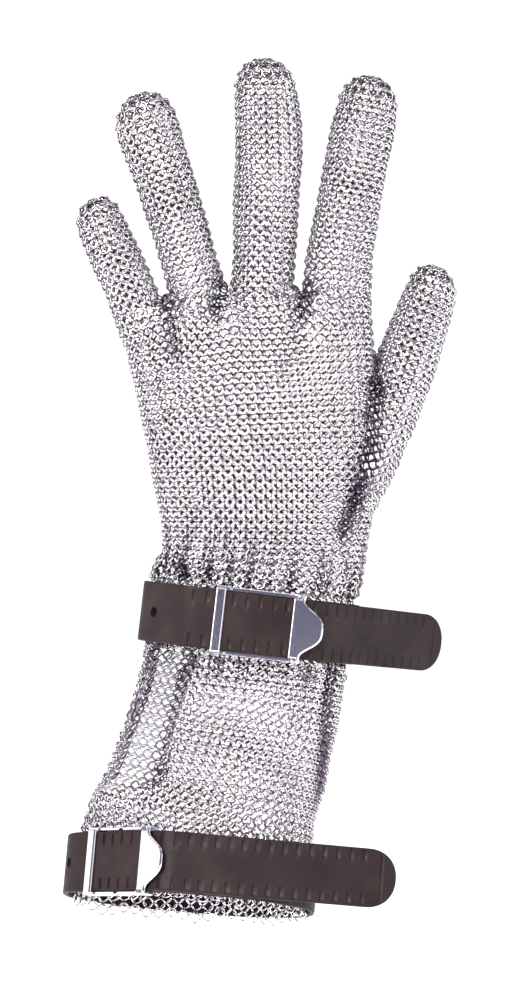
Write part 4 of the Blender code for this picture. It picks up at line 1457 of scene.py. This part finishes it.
# %% Frames and levers
def buckle_frame(name, loop):
    origin, along, outward, across = buckle_axes(loop)
    frame_part = sheet_part(
        name, rail_outline(), (along, outward), origin, across, 2 * FRAME_HALF,
        FRAME_RIM, FRAME_RIM,
    )
    run = (-OVERRUN, BUCKLE_LENGTH + OVERRUN)
    depth = (BUCKLE_SHEET, PIVOT_HEIGHT + 2 * OVERRUN)
    cut_away(frame_part, block("channel", loop, run, depth, CHANNEL_HALF))
    rail_middle = origin + BUCKLE_LENGTH / 2 * along + RAIL_HEIGHT * outward
    for side in (-1, 1):
        place = rail_middle + side * NOTCH_CENTRE * across
        cut_away(frame_part, rod("notch", place, outward, NOTCH_RADIUS, RAIL_HEIGHT - NOTCH_RADIUS))
    pin_hole = rod("pin_hole", pivot_place(loop), across, PIN_RADIUS + GAP, FRAME_HALF + OVERRUN)
    cut_away(frame_part, pin_hole)
    corners = [(0.0, -BAR_HALF), (BAR_WIDTH, -BAR_HALF), (BAR_WIDTH, BAR_HALF), (0.0, BAR_HALF)]
    bar_middle = origin + (BAR_FLOOR + BUCKLE_SHEET / 2) * outward
    add_to(frame_part, sheet_part(
        "bar", corners, (along, across), bar_middle, outward, BUCKLE_SHEET, ROLLED_RIM, BACK_RIM
    ))
    return frame_part


def buckle_lever(name, loop):
    origin, along, outward, across = buckle_axes(loop)
    middle = origin + (PIVOT_HEIGHT + TAB_LIFT) * outward
    lever = sheet_part(
        name, tab_outline(), (along, across), middle, outward, BUCKLE_SHEET, ROLLED_RIM, BACK_RIM
    )
    pivot = pivot_place(loop)
    cam_middle = pivot - CAM_SINK * outward
    add_to(lever, rod("cam", cam_middle, across, CAM_VISIBLE_RADIUS, CHANNEL_HALF - GAP))
    add_to(lever, rod("pin", pivot, across, PIN_RADIUS, PIN_HALF))
    return lever


for name, loop in LOOPS.items():
    for piece, body, node in (
        (buckle_frame(f"{name}_frame_pressed", loop), "root", f"{name}_buckle_frame"),
        (buckle_lever(f"{name}_lever_pressed", loop), f"{name}_lever", f"{name}_buckle_lever"),
    ):
        finish_mesh(piece, sheet_steel, STEEL_SHARP)
        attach(piece, body)
        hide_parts(node)
        print(f"{piece.name}: {len(piece.data.polygons)} faces")

# %% [markdown]
# ## Camera and studio
# The camera stands far off and looks straight at the back of the hand, so the glove
# keeps its true proportions. The floor is plain and pale. Bright metal shows what is
# around it, so a tent of white and grey cloth, which only reflections see, stands round
# the glove. Its front is darker, and that gives the flat steel its grey faces.

# %% Camera, floor and lights
VIEW_CENTRE = (22.9, 140.9)       # mm, x and z of the picture's middle
VIEW_HEIGHT = 346.8               # mm of the picture's long side at the glove
VIEW_DISTANCE = 1600.0            # mm
SENSOR = 36.0
GLOVE_MIDDLE = Vector((VIEW_CENTRE[0], 0.0, VIEW_CENTRE[1])) * MM
ROOM_STRENGTH = 1.15
TENT_RADIUS = 4000.0
TENT_PATCH = 1200.0               # mm, pale and grey patches of the cloth
FLOOR_HEIGHT = -60.0
FLOOR_SIZE = 20000.0
SOFTBOXES = {                     # place and width in mm, power in watts
    "key_light": ((-700.0, -1250.0, 900.0), 600.0, 40.0),
    "left_light": ((-1500.0, 100.0, 450.0), 700.0, 3.0),
    "right_light": ((1500.0, -300.0, 350.0), 500.0, 8.0),
}


def add_camera():
    data = bpy.data.cameras.new("camera")
    data.sensor_width = SENSOR
    data.lens = SENSOR * VIEW_DISTANCE / VIEW_HEIGHT
    camera = placed_object("camera", data)
    camera.location = Vector((VIEW_CENTRE[0], -VIEW_DISTANCE, VIEW_CENTRE[1])) * MM
    camera.rotation_euler = (math.pi / 2, 0.0, 0.0)
    bpy.context.scene.camera = camera


def add_softbox(name, place, size, power):
    """A round soft light that faces the glove."""
    data = bpy.data.lights.new(name, "AREA")
    data.shape = "DISK"
    data.size = size * MM
    data.energy = power
    light = placed_object(name, data)
    light.location = Vector(place) * MM
    run = GLOVE_MIDDLE - light.location
    light.rotation_euler = run.to_track_quat("-Z", "Y").to_euler()


def add_floor(material):
    mesh = bpy.data.meshes.new("floor")
    half = FLOOR_SIZE / 2 * MM
    corners = [(-half, -half, 0), (half, -half, 0), (half, half, 0), (-half, half, 0)]
    mesh.from_pydata(corners, [], [(0, 1, 2, 3)])
    mesh.materials.append(material)
    floor = placed_object("floor", mesh)
    floor.location = Vector((0.0, 0.0, FLOOR_HEIGHT)) * MM


def white_room():
    world = bpy.data.worlds.new("white_room")
    world.use_nodes = True
    background = world.node_tree.nodes["Background"]
    background.inputs["Color"].default_value = (1.0, 1.0, 1.0, 1.0)
    background.inputs["Strength"].default_value = ROOM_STRENGTH
    bpy.context.scene.world = world


def tent_cloth():
    """Cloth that glows white, in pale and grey patches, and darker at the front."""
    material = bpy.data.materials.new("tent_cloth")
    material.use_nodes = True
    material.node_tree.nodes.clear()
    place = add_node(material, "ShaderNodeTexCoord").outputs["Object"]
    patches = add_node(
        material, "ShaderNodeTexNoise", {"Scale": 1 / (TENT_PATCH * MM), "Detail": 1.0},
        {"Vector": place},
    )
    facing = add_node(
        material, "ShaderNodeVectorMath",
        {"operation": "DOT_PRODUCT", 1: (0.0, -1 / (TENT_RADIUS * MM), 0.0)}, {"Vector": place},
    )
    panels, front = (
        add_node(
            material, "ShaderNodeValToRGB", {"stops": stops}, {"Fac": source}
        ).outputs["Color"]
        for source, stops in (
            (patches.outputs["Fac"], [(0.44, "#827e88"), (0.5, "#c4c0c8"), (0.57, "#ffffff")]),
            (facing.outputs["Value"], [
                (0.0, "#fafafc"), (0.88, "#fafafc"), (0.94, "#88889e"), (0.97, "#626278"),
            ]),
        )
    )
    cloth = add_node(material, "ShaderNodeMix", MULTIPLY, {6: panels, 7: front}).outputs[2]
    glow = add_node(material, "ShaderNodeEmission", {"Strength": 1.0}, {"Color": cloth})
    add_node(material, "ShaderNodeOutputMaterial", links={"Surface": glow.outputs["Emission"]})
    return material


def light_tent():
    """A dome round the glove that only reflections see."""
    bm = bmesh.new()
    bmesh.ops.create_icosphere(bm, subdivisions=4, radius=TENT_RADIUS * MM)
    tent = object_of("light_tent", bm)
    tent.data.materials.append(tent_cloth())
    tent.location = GLOVE_MIDDLE
    tent.visible_camera = False
    tent.visible_diffuse = False
    tent.visible_shadow = False
    tent.visible_transmission = False


add_camera()
white_room()
light_tent()
bpy.context.scene.view_settings.view_transform = "Standard"
paper, _ = new_material("white_paper", "#ffffff", 0.9)
add_floor(paper)
for name, (place, size, power) in SOFTBOXES.items():
    add_softbox(name, place, size, power)
print("camera, floor, tent and", len(SOFTBOXES), "lights are set")
